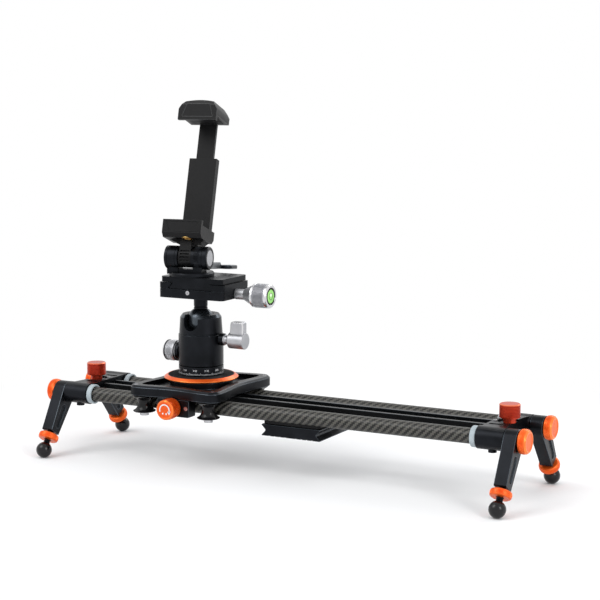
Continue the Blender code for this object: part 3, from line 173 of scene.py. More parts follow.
# %% World
world = bpy.data.worlds.new("studio")
bpy.context.scene.world = world
world.use_nodes = True
sky = world.node_tree
sky.nodes.clear()
path = add_node(sky, "ShaderNodeLightPath")
seen = maths(sky, "MAXIMUM", path.outputs["Is Camera Ray"], path.outputs["Is Glossy Ray"])
seen = maths(sky, "MAXIMUM", seen, path.outputs["Is Transmission Ray"])
soft = make_node(sky, "ShaderNodeBackground", {"Color": (0.97, 0.98, 1.0, 1.0), "Strength": 0.82})
white = make_node(sky, "ShaderNodeBackground", {"Color": (1.0, 1.0, 1.0, 1.0), "Strength": 1.0})
choose = make_node(sky, "ShaderNodeMixShader", {0: seen, 1: soft.outputs[0], 2: white.outputs[0]})
wire(sky, choose.outputs[0], add_node(sky, "ShaderNodeOutputWorld").inputs["Surface"])
print("world: soft light", soft.inputs["Strength"].default_value)

# %% [markdown]
# Three large area lamps shape the pieces. The key lamp stands high on the left in front, a narrower one
# on the right draws the bright lines along the edges, and a weak one lights the back.

# %% Lamps
def add_lamp(name, place, aim, size, power):
    data = bpy.data.lights.new(name, "AREA")
    data.shape = "RECTANGLE"
    data.size, data.size_y = size
    data.energy = power
    lamp = bpy.data.objects.new(name, data)
    bpy.context.scene.collection.objects.link(lamp)
    lamp.location = place
    lamp.rotation_euler = (Vector(aim) - Vector(place)).to_track_quat("-Z", "Y").to_euler()
    print("lamp", name, power, "W")


object_middle = ((cad_box[0][0] + cad_box[1][0]) / 2, 0.0, 0.1)
add_lamp("key", (-0.7, -0.9, 1.25), object_middle, (0.9, 0.9), 9.0)
add_lamp("edge", (1.3, -0.55, 0.75), object_middle, (0.35, 0.9), 7.0)
add_lamp("back", (0.2, 1.3, 1.0), object_middle, (1.0, 0.6), 5.0)

# %% [markdown]
# The floor is a white sheet. Near the object it is a real surface that keeps the shadow. Further out it
# fades into plain white for the camera, so no horizon shows.

# %% Floor
def make_floor(half):
    mesh = bmesh.new()
    bmesh.ops.create_grid(mesh, x_segments=8, y_segments=8, size=half)
    data = bpy.data.meshes.new("floor")
    mesh.to_mesh(data)
    mesh.free()
    floor = bpy.data.objects.new("floor", data)
    bpy.context.scene.collection.objects.link(floor)
    return floor


floor = make_floor(6.0)
paper = bpy.data.materials.new("paper")
paper.use_nodes = True
sheet = paper.node_tree
sheet.nodes.clear()
coords = add_node(sheet, "ShaderNodeTexCoord")
fibre = make_node(sheet, "ShaderNodeTexNoise", {"Scale": 900.0, "Vector": coords.outputs["Object"]})
pulp = add_node(sheet, "ShaderNodeValToRGB")
pulp.color_ramp.elements[0].color = (0.94, 0.94, 0.94, 1.0)
pulp.color_ramp.elements[1].color = (0.97, 0.97, 0.97, 1.0)
wire(sheet, fibre.outputs["Fac"], pulp.inputs[0])
surface = make_node(sheet, "ShaderNodeBsdfDiffuse", {"Color": pulp.outputs[0]})
glow = make_node(sheet, "ShaderNodeEmission", {"Color": (1.0, 1.0, 1.0, 1.0), "Strength": 1.0})
distance = make_node(sheet, "ShaderNodeVectorMath", {0: coords.outputs["Object"]}, operation="LENGTH")
fade = make_node(sheet, "ShaderNodeMapRange", {"From Min": 0.2, "From Max": 0.42,
    "Value": distance.outputs["Value"]}, interpolation_type="SMOOTHSTEP")
floor_path = add_node(sheet, "ShaderNodeLightPath")
floor_seen = maths(sheet, "MAXIMUM", floor_path.outputs["Is Camera Ray"], floor_path.outputs["Is Glossy Ray"])
floor_seen = maths(sheet, "MAXIMUM", floor_seen, floor_path.outputs["Is Transmission Ray"])
share = maths(sheet, "MULTIPLY", fade.outputs["Result"], floor_seen)
blend = make_node(sheet, "ShaderNodeMixShader", {0: share, 1: surface.outputs[0], 2: glow.outputs[0]})
wire(sheet, blend.outputs[0], add_node(sheet, "ShaderNodeOutputMaterial").inputs["Surface"])
floor.data.materials.append(paper)
print("floor", floor.dimensions[:])

# %% [markdown]
# ## Finishes
# Anodised aluminium is etched before it is dyed, so it has a very fine grain and its gloss drifts a
# little from place to place. One function builds such a coat from two noises: a fine one for the bump
# and a slow one for colour and roughness. Only what varies is wired; the rest sits on the shader.

# %% A dyed or moulded coat
def coat(name, dark, light, roughness, metallic, grain=2600.0, depth=0.05, specular=0.5, stretch=(1, 1, 1)):
    material = bpy.data.materials.new(name)
    material.use_nodes = True
    tree = material.node_tree
    shader = tree.nodes["Principled BSDF"]
    shader.inputs["Metallic"].default_value = metallic
    shader.inputs["Specular IOR Level"].default_value = specular
    place = add_node(tree, "ShaderNodeTexCoord")
    mapping = make_node(tree, "ShaderNodeMapping", {"Scale": stretch, "Vector": place.outputs["Object"]})
    slow = make_node(tree, "ShaderNodeTexNoise", {"Scale": 70.0, "Detail": 4.0, "Vector": mapping.outputs[0]})
    tint = add_node(tree, "ShaderNodeValToRGB")
    tint.color_ramp.elements[0].position, tint.color_ramp.elements[1].position = 0.35, 0.65
    tint.color_ramp.elements[0].color = (*dark, 1.0)
    tint.color_ramp.elements[1].color = (*light, 1.0)
    wire(tree, slow.outputs["Fac"], tint.inputs[0])
    wire(tree, tint.outputs[0], shader.inputs["Base Color"])
    gloss = add_node(tree, "ShaderNodeMapRange")
    gloss.inputs["From Min"].default_value, gloss.inputs["From Max"].default_value = 0.3, 0.7
    gloss.inputs["To Min"].default_value = roughness - 0.05
    gloss.inputs["To Max"].default_value = roughness + 0.05
    wire(tree, slow.outputs["Fac"], gloss.inputs["Value"])
    wire(tree, gloss.outputs["Result"], shader.inputs["Roughness"])
    fine = make_node(tree, "ShaderNodeTexNoise", {"Scale": grain, "Detail": 2.0,
        "Vector": mapping.outputs[0]})
    bump = make_node(tree, "ShaderNodeBump", {"Strength": depth, "Distance": 0.1 * MM,
        "Height": fine.outputs["Fac"]})
    wire(tree, bump.outputs[0], shader.inputs["Normal"])
    print("finish", name)
    return material


# %% [markdown]
# The black parts are one dye on one alloy. Their bevels get a paler, smoother coat of their own. It is partly
# the polish that tools and handling leave on machined edges and partly a painted highlight along every edge.
# The other colours get such a coat too, for their rims, and it is likewise partly a painted highlight.

# %% Black, orange and bare metals
black_metal = coat("black_anodised", (0.006, 0.007, 0.009), (0.011, 0.0125, 0.016), 0.36, 0.8, depth=0.12,
                   specular=0.4)
# Paler bluish-grey coat for black bevels: partly edge wear, partly a painted highlight.
black_wear_and_highlight = coat("black_anodised_wear_and_painted_highlight", (0.050, 0.060, 0.072), (0.085, 0.098, 0.112), 0.26, 0.9, depth=0.05)
black_bar = coat(
    "black_drawn", (0.010, 0.011, 0.012), (0.020, 0.021, 0.022), 0.33, 0.85, 900.0, 0.2, stretch=(0.04, 1, 1))
black_plastic = coat(
    "black_moulded", (0.004, 0.004, 0.0045), (0.007, 0.007, 0.0075), 0.42, 0.0, 1500.0, 0.35, specular=0.16)
# Paler coat for the plastic bevels: partly edge wear, partly a painted highlight.
black_plastic_wear_and_highlight = coat(
    "black_moulded_wear_and_painted_highlight", (0.016, 0.017, 0.018), (0.026, 0.027, 0.029), 0.33, 0.0, 1500.0, 0.1, specular=0.4)
gloss_plastic = coat(
    "black_glossy", (0.003, 0.003, 0.0035), (0.005, 0.005, 0.006), 0.2, 0.0, 800.0, 0.04, specular=0.25)
orange_metal = coat("orange_anodised", (0.80, 0.098, 0.008), (0.93, 0.150, 0.014), 0.32, 0.5, depth=0.1)
# Lighter orange coat for rims: partly polish, partly a painted highlight.
orange_polish_and_highlight = coat("orange_anodised_polish_and_painted_highlight", (0.95, 0.19, 0.035), (1.0, 0.26, 0.055), 0.24, 0.7, depth=0.03)
red_metal = coat("red_anodised", (0.44, 0.030, 0.010), (0.56, 0.050, 0.016), 0.33, 0.6, depth=0.1)
# Lighter red coat for rims: partly polish, partly a painted highlight.
red_polish_and_highlight = coat("red_anodised_polish_and_painted_highlight", (0.78, 0.18, 0.08), (0.88, 0.24, 0.11), 0.25, 0.75, depth=0.03)
silver_metal = coat("silver_turned", (0.38, 0.39, 0.41), (0.50, 0.50, 0.52), 0.42, 0.9, depth=0.08)
# Lighter silver coat for rims and bevels: partly polish, partly a painted highlight.
silver_polish_and_highlight = coat("silver_polished_and_painted_highlight", (0.62, 0.62, 0.64), (0.74, 0.74, 0.75), 0.24, 1.0, depth=0.02)
steel = coat("steel_screw", (0.42, 0.42, 0.44), (0.55, 0.55, 0.57), 0.28, 1.0, depth=0.06)
rubber = coat("rubber", (0.005, 0.005, 0.006), (0.009, 0.009, 0.010), 0.6, 0.0, 1800.0, 0.4, specular=0.2)
foot_rubber = coat("foot_rubber", (0.002, 0.002, 0.003), (0.004, 0.004, 0.005), 0.2, 0.0, 700.0, 0.06,
                   specular=0.35)
nylon = coat("pale_nylon", (0.33, 0.39, 0.42), (0.42, 0.48, 0.51), 0.42, 0.0, 1200.0, 0.15)
brass = coat("brass_insert", (0.58, 0.38, 0.13), (0.70, 0.47, 0.18), 0.3, 0.95, depth=0.08)
white_mark = coat("white_mark", (0.72, 0.73, 0.75), (0.82, 0.83, 0.84), 0.5, 0.0, 1500.0, 0.1)
grey_arm = coat("grey_pressed", (0.16, 0.17, 0.18), (0.22, 0.23, 0.24), 0.32, 0.9, depth=0.08)

# %% [markdown]
# The tubes are twill carbon cloth under a satin resin. One set of tows runs along the tube and one round it,
# so the twill lines climb at 45 degrees. The pattern follows the tube's own unrolled map, which is in metres:
# a cell is a warp tow or a weft tow by the sum of its row and column. Each tow is rounded and mirrors along
# its own way. The warp tows are also coloured much lighter than the weft tows: a painted sheen for the light
# that the cloth catches along one direction of its fibres.

# %% Carbon twill
def carbon_twill(name, tow):
    material = bpy.data.materials.new(name)
    material.use_nodes = True
    tree = material.node_tree
    shader = tree.nodes["Principled BSDF"]
    shader.inputs["Metallic"].default_value = 0.25
    shader.inputs["Specular IOR Level"].default_value = 0.4
    shader.inputs["Coat Weight"].default_value = 0.12
    shader.inputs["Coat Roughness"].default_value = 0.25
    unrolled = add_node(tree, "ShaderNodeUVMap", uv_map="unrolled")
    mapping = make_node(tree, "ShaderNodeMapping", {"Scale": (1 / tow, 1 / tow, 1),
        "Vector": unrolled.outputs[0]})
    split = make_node(tree, "ShaderNodeSeparateXYZ", {0: mapping.outputs[0]})
    column = maths(tree, "FLOOR", split.outputs["X"])
    row = maths(tree, "FLOOR", split.outputs["Y"])
    step = maths(tree, "FLOORED_MODULO", maths(tree, "ADD", column, row), 4)
    warp = maths(tree, "LESS_THAN", step, 1.5)
    across = maths(tree, "PINGPONG", split.outputs["Y"], 0.5)
    along = maths(tree, "PINGPONG", split.outputs["X"], 0.5)
    height = make_node(tree, "ShaderNodeMix", {"Factor": warp, "A": along, "B": across}, data_type="FLOAT")
    # Warp tows lighter than weft tows: the weave is real, the lighter warp colour is a painted sheen.
    warp_sheen_tone = make_node(tree, "ShaderNodeMix", {"A": (0.008, 0.008, 0.007, 1.0),
        "B": (0.100, 0.096, 0.084, 1.0), "Factor": warp}, data_type="RGBA")
    place = add_node(tree, "ShaderNodeTexCoord")
    fibre = make_node(tree, "ShaderNodeTexNoise", {"Scale": 1600.0, "Vector": place.outputs["Object"]})
    shade = make_node(tree, "ShaderNodeMix", {"Factor": 0.4, "A": warp_sheen_tone.outputs["Result"],
        "B": fibre.outputs["Color"]}, data_type="RGBA", blend_type="MULTIPLY")
    wire(tree, shade.outputs["Result"], shader.inputs["Base Color"])
    gloss = make_node(tree, "ShaderNodeMapRange", {"To Min": 0.36, "To Max": 0.5, "Value": warp})
    wire(tree, gloss.outputs["Result"], shader.inputs["Roughness"])
    bump = make_node(tree, "ShaderNodeBump", {"Strength": 0.35, "Distance": 0.15 * MM,
        "Height": height.outputs["Result"]})
    wire(tree, bump.outputs[0], shader.inputs["Normal"])
    print("finish", name, "tow", tow)
    return material


carbon = carbon_twill("carbon_twill", 1.35 * MM)

# %% [markdown]
# The vial is a clear cap over green spirit. A clear coat gives the cap, and a slow noise in the green
# gives the depth of the liquid.

# %% Vial
vial_green = coat("vial_green", (0.20, 0.62, 0.07), (0.34, 0.82, 0.14), 0.12, 0.0, 300.0, 0.02)
vial_shader = vial_green.node_tree.nodes["Principled BSDF"]
vial_shader.inputs["Coat Weight"].default_value = 0.8
vial_shader.inputs["Coat Roughness"].default_value = 0.04
vial_air = coat("vial_air", (0.74, 0.90, 0.62), (0.84, 0.96, 0.74), 0.1, 0.0, 300.0, 0.02)

# %% [markdown]
# ## Shape helpers
# A turned piece is a profile swept round an axis. Real turned parts have no knife edges, so the
# profile's corners are rounded first, and the rounding is what draws a highlight along every rim. The
# sweep also writes an unrolled map in metres, which the carbon cloth needs.

# %% Rounded corners
def rounded(points, radius, steps=3, closed=False):
    """Round each corner of a chain of points with a small curve, and leave nearly straight ones alone."""
    result = []
    count = len(points)
    for index, here in enumerate(points):
        if not closed and index in (0, count - 1):
            result.append(tuple(here))
            continue
        here = Vector(here)
        to_last = Vector(points[index - 1]) - here
        to_next = Vector(points[(index + 1) % count]) - here
        if to_last.length < 1e-7 or to_next.length < 1e-7:
            continue
        opening = to_last.angle(to_next)
        if opening > math.radians(158):
            result.append(tuple(here))
            continue
        reach = min(radius / math.tan(opening / 2), 0.45 * to_last.length, 0.45 * to_next.length)
        first = here + to_last.normalized() * reach
        last = here + to_next.normalized() * reach
        for step in range(steps + 1):
            share = step / steps
            inner = first.lerp(here, share).lerp(here.lerp(last, share), share)
            result.append(tuple(inner))
    return result


# %% Turning a profile
def lathe(profile, segments=96):
    """A mesh turned about Z from (radius, height) points: from pole to pole, or a closed ring."""
    mesh = bmesh.new()
    unrolled = mesh.loops.layers.uv.new("unrolled")
    widest = max(radius for radius, _ in profile)
    travel = [0.0]
    for first, second in zip(profile, profile[1:]):
        travel.append(travel[-1] + math.dist(first, second))
    rings = []
    for radius, height in profile:
        count = segments if radius > 1e-8 else 1
        turns = [2 * math.pi * step / segments for step in range(count)]
        rings.append([mesh.verts.new((radius * math.cos(t), radius * math.sin(t), height)) for t in turns])
    pairs = list(zip(range(len(rings) - 1), range(1, len(rings))))
    if len(rings[0]) > 1:
        pairs.append((len(rings) - 1, 0))
    for first, second in pairs:
        for step in range(segments):
            corners_here = {}
            for ring, turn in ((first, step), (first, step + 1), (second, step + 1), (second, step)):
                vertex = rings[ring][turn % len(rings[ring])]
                if vertex not in corners_here:
                    corners_here[vertex] = (2 * math.pi * widest * turn / segments, travel[ring])
            face = mesh.faces.new(list(corners_here))
            for loop in face.loops:
                loop[unrolled].uv = corners_here[loop.vert]
    bmesh.ops.recalc_face_normals(mesh, faces=mesh.faces)
    return mesh


def turned(outline, rim=0.3, segments=96):
    """A lathe whose corners are rounded by rim millimetres."""
    closed = outline[0][0] > 1e-8
    return lathe(rounded(outline, rim * MM, closed=closed), segments)


# %% [markdown]
# A milled piece is an outline raised from one level to another. Arcs in the outline get plenty of
# points, so a round end stays round up close.

# %% Raising an outline
def arc(centre, radius, start, end, steps):
    angles = [start + (end - start) * step / steps for step in range(steps + 1)]
    return [(centre[0] + radius * math.cos(a), centre[1] + radius * math.sin(a)) for a in angles]


def prism(outline, low, high, plane="XY"):
    place = {
        "XY": lambda a, b, c: (a, b, c),
        "XZ": lambda a, b, c: (a, c, b),
        "YZ": lambda a, b, c: (c, a, b),
    }[plane]
    mesh = bmesh.new()
    start = [mesh.verts.new(place(a, b, low)) for a, b in outline]
    end = [mesh.verts.new(place(a, b, high)) for a, b in outline]
    mesh.faces.new(start)
    mesh.faces.new(end)
    for index in range(len(outline)):
        following = (index + 1) % len(outline)
        mesh.faces.new((start[index], start[following], end[following], end[index]))
    bmesh.ops.recalc_face_normals(mesh, faces=mesh.faces)
    return mesh


def block(x_range, y_range, z_range):
    (left, right), (near, far) = x_range, y_range
    return prism([(left, near), (right, near), (right, far), (left, far)], *z_range)


def drum(radius, low, high, segments=64):
    return lathe([(0, low), (radius, low), (radius, high), (0, high)], segments)


def shifted(mesh, x=0.0, y=0.0, z=0.0):
    mesh.transform(Matrix.Translation((x, y, z)))
    return mesh


AXES = {
    "Z": Matrix.Identity(4),
    "X": Matrix.Rotation(math.pi / 2, 4, "Y"),
    "-X": Matrix.Rotation(-math.pi / 2, 4, "Y"),
    "-Y": Matrix.Rotation(math.pi / 2, 4, "X"),
}


def along(mesh, axis):
    mesh.transform(AXES[axis])
    return mesh


# %% [markdown]
# Cutting and joining use Boolean modifiers, then a Bevel rounds the edges. The Bevel can put its new faces in
# a second material slot, which is how the paler rim of a black part is made: partly edge wear, partly a
# painted highlight. Weighted normals keep the flat faces looking flat. The result is stored as a plain mesh.

# %% Keeping the result of modifiers
CUT, ADD, TRIM = "DIFFERENCE", "UNION", "INTERSECT"


def new_object(name, mesh):
    data = bpy.data.meshes.new(name)
    mesh.to_mesh(data)
    mesh.free()
    item = bpy.data.objects.new(name, data)
    bpy.context.scene.collection.objects.link(item)
    return item


def dressed(name, mesh, *finishes):
    """A new object with a material slot for each finish."""
    item = new_object(name, mesh)
    for finish in finishes:
        item.data.materials.append(finish)
    return item


def settle(item):
    """Replace an object's modifiers by the mesh they make."""
    graph = bpy.context.evaluated_depsgraph_get()
    kept = bpy.data.meshes.new_from_object(item.evaluated_get(graph))
    item.modifiers.clear()
    item.data = kept
    kept.name = item.name
    return item


def part(name, mesh, finish, wear_and_highlight_finish=None, steps=(), bevel=0.3, segments=2):
    """A piece from a base mesh, a list of (operation, mesh) steps and a bevel in millimetres."""
    item = new_object(name, mesh)
    item.data.materials.append(finish)
    if wear_and_highlight_finish:
        item.data.materials.append(wear_and_highlight_finish)
    tools = []
    for operation, tool in steps:
        other = new_object("tool", tool)
        tools.append(other)
        modifier = item.modifiers.new(operation.lower(), "BOOLEAN")
        modifier.operation = operation
        modifier.object = other
    if bevel:
        modifier = item.modifiers.new("bevel", "BEVEL")
        modifier.width = bevel * MM
        modifier.segments = segments
        modifier.limit_method = "ANGLE"
        modifier.angle_limit = math.radians(38)
        modifier.miter_outer = "MITER_ARC"
        # The bevel faces take the paler coat: partly edge wear, partly a painted highlight.
        if wear_and_highlight_finish:
            modifier.material = 1
    settle(item)
    for other in tools:
        bpy.data.objects.remove(other)
    return item


# %% [markdown]
# The last helper hands a finished piece over: it is moved into place in its mesh, smoothed, tied to the body
# that carries it, and the model's solids that it stands for are hidden.

# %% Handing a piece over
def hand_over(item, body, nodes=(), place=None, sharp=40):
    if place is not None:
        item.data.transform(place)
    item.data.shade_smooth()
    item.data.set_sharp_from_angle(angle=math.radians(sharp))
    weighted = item.modifiers.new("weighted", "WEIGHTED_NORMAL")
    weighted.keep_sharp = True
    settle(item)
    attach(item, body)
    if nodes:
        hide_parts(*([nodes] if isinstance(nodes, str) else nodes))
    triangles = sum(len(face.vertices) - 2 for face in item.data.polygons)
    print(f"{item.name}: {triangles} triangles on {body}")
    return item


def at(place):
    return Matrix.Translation(place)


def off_axis(face):
    """How far the middle of a face is from the Z axis."""
    return math.hypot(face.center.x, face.center.y)


# %% [markdown]
# ## Geometry Nodes for what repeats
# A knurl, a scale and a row of ribs are one small shape placed many times by a rule. Each tree below
# has its sizes as named inputs, so one tree serves every knob. The points come from their own index:
# the remainder gives the place round the axis and the quotient gives the row along it.

# %% Starting and running a tree
def new_tree(name, inputs):
    tree = bpy.data.node_groups.new(name, "GeometryNodeTree")
    tree.interface.new_socket("Geometry", in_out="INPUT", socket_type="NodeSocketGeometry")
    for label, kind, value in inputs:
        socket = tree.interface.new_socket(label, in_out="INPUT", socket_type="NodeSocket" + kind)
        if value is not None:
            socket.default_value = value
    tree.interface.new_socket("Geometry", in_out="OUTPUT", socket_type="NodeSocketGeometry")
    return tree


def end_tree(tree, entry, geometry):
    """Realize the copies, give them the finish and send them out."""
    real = make_node(tree, "GeometryNodeRealizeInstances", {0: geometry})
    dress = make_node(tree, "GeometryNodeSetMaterial", {"Geometry": real.outputs[0],
        "Material": entry.outputs["Finish"]})
    wire(tree, dress.outputs[0], add_node(tree, "NodeGroupOutput").inputs["Geometry"])


def grow(name, tree, values, points=()):
    """Run a tree on an object of loose points and keep the mesh that it makes."""
    data = bpy.data.meshes.new(name)
    data.from_pydata([tuple(point) for point in points], [], [])
    item = bpy.data.objects.new(name, data)
    bpy.context.scene.collection.objects.link(item)
    modifier = item.modifiers.new("rule", "NODES")
    modifier.node_group = tree
    for socket in tree.interface.items_tree:
        if socket.in_out == "INPUT" and socket.name in values:
            modifier[socket.identifier] = values[socket.name]
    return settle(item)


# %% A ring of points, shared by the knurl and the scale
def ring_of_points(tree, entry, row_step):
    """Points on a cylinder about Z, and the turn that stands a shape on it, its own X along the axis."""
    index = add_node(tree, "GeometryNodeInputIndex").outputs[0]
    column = maths(tree, "MODULO", index, entry.outputs["Around"])
    row = maths(tree, "FLOOR", maths(tree, "DIVIDE", index, entry.outputs["Around"]))
    shift = maths(tree, "MULTIPLY", maths(tree, "MODULO", row, 2.0), 0.5)
    turn = maths(tree, "DIVIDE", maths(tree, "ADD", column, shift), entry.outputs["Around"])
    angle = maths(tree, "MULTIPLY", turn, 2 * math.pi)
    outward = make_node(tree, "ShaderNodeCombineXYZ", {"X": maths(tree, "COSINE", angle),
        "Y": maths(tree, "SINE", angle)})
    away = make_node(tree, "ShaderNodeVectorMath", {0: outward.outputs[0],
        "Scale": entry.outputs["Radius"]}, operation="SCALE")
    level = maths(tree, "ADD", maths(tree, "MULTIPLY", row, row_step), entry.outputs["Start"])
    lift = make_node(tree, "ShaderNodeCombineXYZ", {"Z": level})
    place = make_node(tree, "ShaderNodeVectorMath", {0: away.outputs[0], 1: lift.outputs[0]}, operation="ADD")
    count = maths(tree, "MULTIPLY", entry.outputs["Around"], entry.outputs["Rows"])
    points = make_node(tree, "GeometryNodePoints", {"Count": count, "Position": place.outputs[0]})
    stand = make_node(tree, "FunctionNodeAxesToRotation",
                      {"Primary Axis": outward.outputs[0], "Secondary Axis": (0, 0, 1)}, primary_axis="Z",
                      secondary_axis="X")
    return points.outputs[0], stand.outputs[0], index


# %% [markdown]
# Knurling presses a pattern of small pyramids into a grip. The tooth is a four-sided cone with a flat
# tip. Rows that are offset by half a tooth give a diamond knurl; one row of long teeth gives straight
# flutes.

# %% The knurl tree
knurl = new_tree("knurl", [
    ("Radius", "Float", 8 * MM), ("Start", "Float", 0.0), ("Around", "Int", 40), ("Rows", "Int", 1),
    ("Row Step", "Float", MM), ("Tooth Length", "Float", MM), ("Tooth Width", "Float", MM),
    ("Tooth Height", "Float", 0.3 * MM), ("Tooth Turn", "Float", 0.0), ("Finish", "Material", None),
])
entry = add_node(knurl, "NodeGroupInput")
points, stand, _ = ring_of_points(knurl, entry, entry.outputs["Row Step"])
tooth = make_node(knurl, "GeometryNodeMeshCone", {"Vertices": 4, "Radius Top": 0.35, "Radius Bottom": 1.0,
    "Depth": 1.0})
about = make_node(knurl, "ShaderNodeCombineXYZ", {"Z": entry.outputs["Tooth Turn"]})
twist = make_node(knurl, "GeometryNodeTransform", {"Geometry": tooth.outputs["Mesh"],
    "Rotation": about.outputs[0]})
size = make_node(knurl, "ShaderNodeCombineXYZ", {"X": entry.outputs["Tooth Length"],
    "Y": entry.outputs["Tooth Width"], "Z": entry.outputs["Tooth Height"]})
teeth = make_node(knurl, "GeometryNodeInstanceOnPoints",
                  {"Points": points, "Instance": twist.outputs[0], "Rotation": stand,
                   "Scale": size.outputs[0]})
end_tree(knurl, entry, teeth.outputs[0])
print("knurl tree:", len(knurl.nodes), "nodes")

# %% [markdown]
# A scale is a ring of thin marks, and every so many marks one is longer. The long ones are picked by
# the remainder of the index. The mark is a flat bar, sunk so that only its face shows.

# %% The scale tree
scale = new_tree("scale", [
    ("Radius", "Float", 17 * MM), ("Start", "Float", 0.0), ("Around", "Int", 72), ("Rows", "Int", 1),
    ("Short", "Float", MM), ("Long", "Float", 2 * MM), ("Every", "Int", 6), ("Width", "Float", 0.25 * MM),
    ("Thickness", "Float", 0.1 * MM), ("Finish", "Material", None),
])
entry = add_node(scale, "NodeGroupInput")
points, stand, index = ring_of_points(scale, entry, 0.0)
is_long = maths(scale, "LESS_THAN", maths(scale, "MODULO", index, entry.outputs["Every"]), 0.5)
length = make_node(scale, "GeometryNodeSwitch", {"Switch": is_long, "False": entry.outputs["Short"],
    "True": entry.outputs["Long"]}, input_type="FLOAT")
bar = make_node(scale, "GeometryNodeMeshCube", {"Size": (1, 1, 1)})
hang = make_node(scale, "GeometryNodeTransform", {"Translation": (0.5, 0, 0),
    "Geometry": bar.outputs["Mesh"]})
size = make_node(scale, "ShaderNodeCombineXYZ", {"X": length.outputs[0], "Y": entry.outputs["Width"],
    "Z": entry.outputs["Thickness"]})
marks = make_node(scale, "GeometryNodeInstanceOnPoints",
                  {"Points": points, "Instance": hang.outputs[0], "Rotation": stand,
                   "Scale": size.outputs[0]})
end_tree(scale, entry, marks.outputs[0])
print("scale tree:", len(scale.nodes), "nodes")

# %% [markdown]
# Ribs stand in a straight row at an even step. The tree makes the row as a line of points along X and
# sets a bar on each.

# %% The rib tree
ribs = new_tree("ribs", [
    ("Count", "Int", 6), ("Step", "Float", MM), ("Size", "Vector", (MM, MM, MM)),
    ("Finish", "Material", None),
])
entry = add_node(ribs, "NodeGroupInput")
pace = make_node(ribs, "ShaderNodeCombineXYZ", {"X": entry.outputs["Step"]})
line = make_node(ribs, "GeometryNodeMeshLine", {"Count": entry.outputs["Count"], "Offset": pace.outputs[0]},
                 mode="OFFSET")
bar = make_node(ribs, "GeometryNodeMeshCube", {"Size": entry.outputs["Size"]})
row_of_bars = make_node(ribs, "GeometryNodeInstanceOnPoints",
                        {"Points": line.outputs[0], "Instance": bar.outputs["Mesh"]})
end_tree(ribs, entry, row_of_bars.outputs[0])
print("rib tree:", len(ribs.nodes), "nodes")

# %% [markdown]
# Socket screws hold the whole slider together. The tree cuts a hexagon into a short cylinder once and
# sets a copy on every point that it is given. Each point is the middle of a head.

# %% The screw tree
screws = new_tree("screws", [
    ("Head Radius", "Float", 1.6 * MM), ("Head Height", "Float", 1.0 * MM), ("Turn", "Vector", (0, 0, 0)),
    ("Finish", "Material", None),
])
entry = add_node(screws, "NodeGroupInput")
head = make_node(screws, "GeometryNodeMeshCylinder", {"Vertices": 24, "Radius": 1.0, "Depth": 1.0})
socket_cut = make_node(screws, "GeometryNodeMeshCylinder", {"Vertices": 6, "Radius": 0.55, "Depth": 1.0})
raise_cut = make_node(screws, "GeometryNodeTransform", {"Translation": (0, 0, 0.4),
    "Geometry": socket_cut.outputs["Mesh"]})
carve = make_node(screws, "GeometryNodeMeshBoolean", {"Mesh 1": head.outputs["Mesh"],
    "Mesh 2": raise_cut.outputs[0]}, operation="DIFFERENCE", solver="EXACT")
size = make_node(screws, "ShaderNodeCombineXYZ", {"X": entry.outputs["Head Radius"],
    "Y": entry.outputs["Head Radius"], "Z": entry.outputs["Head Height"]})
spin = make_node(screws, "FunctionNodeEulerToRotation", {0: entry.outputs["Turn"]})
heads = make_node(screws, "GeometryNodeInstanceOnPoints",
                  {"Points": entry.outputs["Geometry"], "Instance": carve.outputs["Mesh"],
                   "Rotation": spin.outputs[0], "Scale": size.outputs[0]})
end_tree(screws, entry, heads.outputs[0])
print("screw tree:", len(screws.nodes), "nodes")

# %% [markdown]
# ## Rails
# A rail is a carbon tube wound from cloth. Its shape follows one rule, a ring of constant wall, so it is
# a closed ring profile turned about the tube's axis.

# %% Carbon tubes
for name in ("tube_front", "tube_rear"):
    low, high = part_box(name)
    half = (high.x - low.x) / 2
    inner = tube_radius - 1.5 * MM
    wall = [(inner, -half), (tube_radius, -half), (tube_radius, half), (inner, half)]
    tube = dressed(f"carbon_{name}", turned(wall, 0.25, 128), carbon)
    hand_over(tube, "frame", name, at(middle(name)) @ AXES["X"])

# %% [markdown]
# The bar between the rails is an aluminium extrusion: a channel with a thicker lip at the top of each
# wall and a shallow groove along it. The same outline runs its whole length, so it is one prism, and
# the rims show the bright lines that run along the real one.

# %% Centre bar
low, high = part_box("centre_bar")
half = (high.y - low.y) / 2
wall = 2.2 * MM
lip = 0.5 * MM
groove = 0.45 * MM
top = high.z - low.z
floor_top = 2.5 * MM
side_view = [
    (-half, 0), (half, 0), (half, top * 0.42), (half - groove, top * 0.42 + groove),
    (half - groove, top * 0.58), (half, top * 0.58 + groove), (half, top), (half - wall - lip, top),
    (half - wall - lip, top - 1.2 * MM), (half - wall, top - 1.2 * MM - lip), (half - wall, floor_top),
]
side_view += [(-y, z) for y, z in reversed(side_view[1:])]
side_view = side_view[:-1]
bar = part("extruded_centre_bar", prism(side_view, low.x, high.x, "YZ"), black_bar, black_wear_and_highlight, bevel=0.22)
hand_over(bar, "frame", "centre_bar", at((0, 0, low.z)))

# %% [markdown]
# The tripod plate hangs below the rails, near their middle. Two of its sides are undercut so that a clamp
# can hold it, and a rubber sheet between plate and rails stops it from slipping. Fine grooves across
# the underside and a screw hole in the middle finish it.

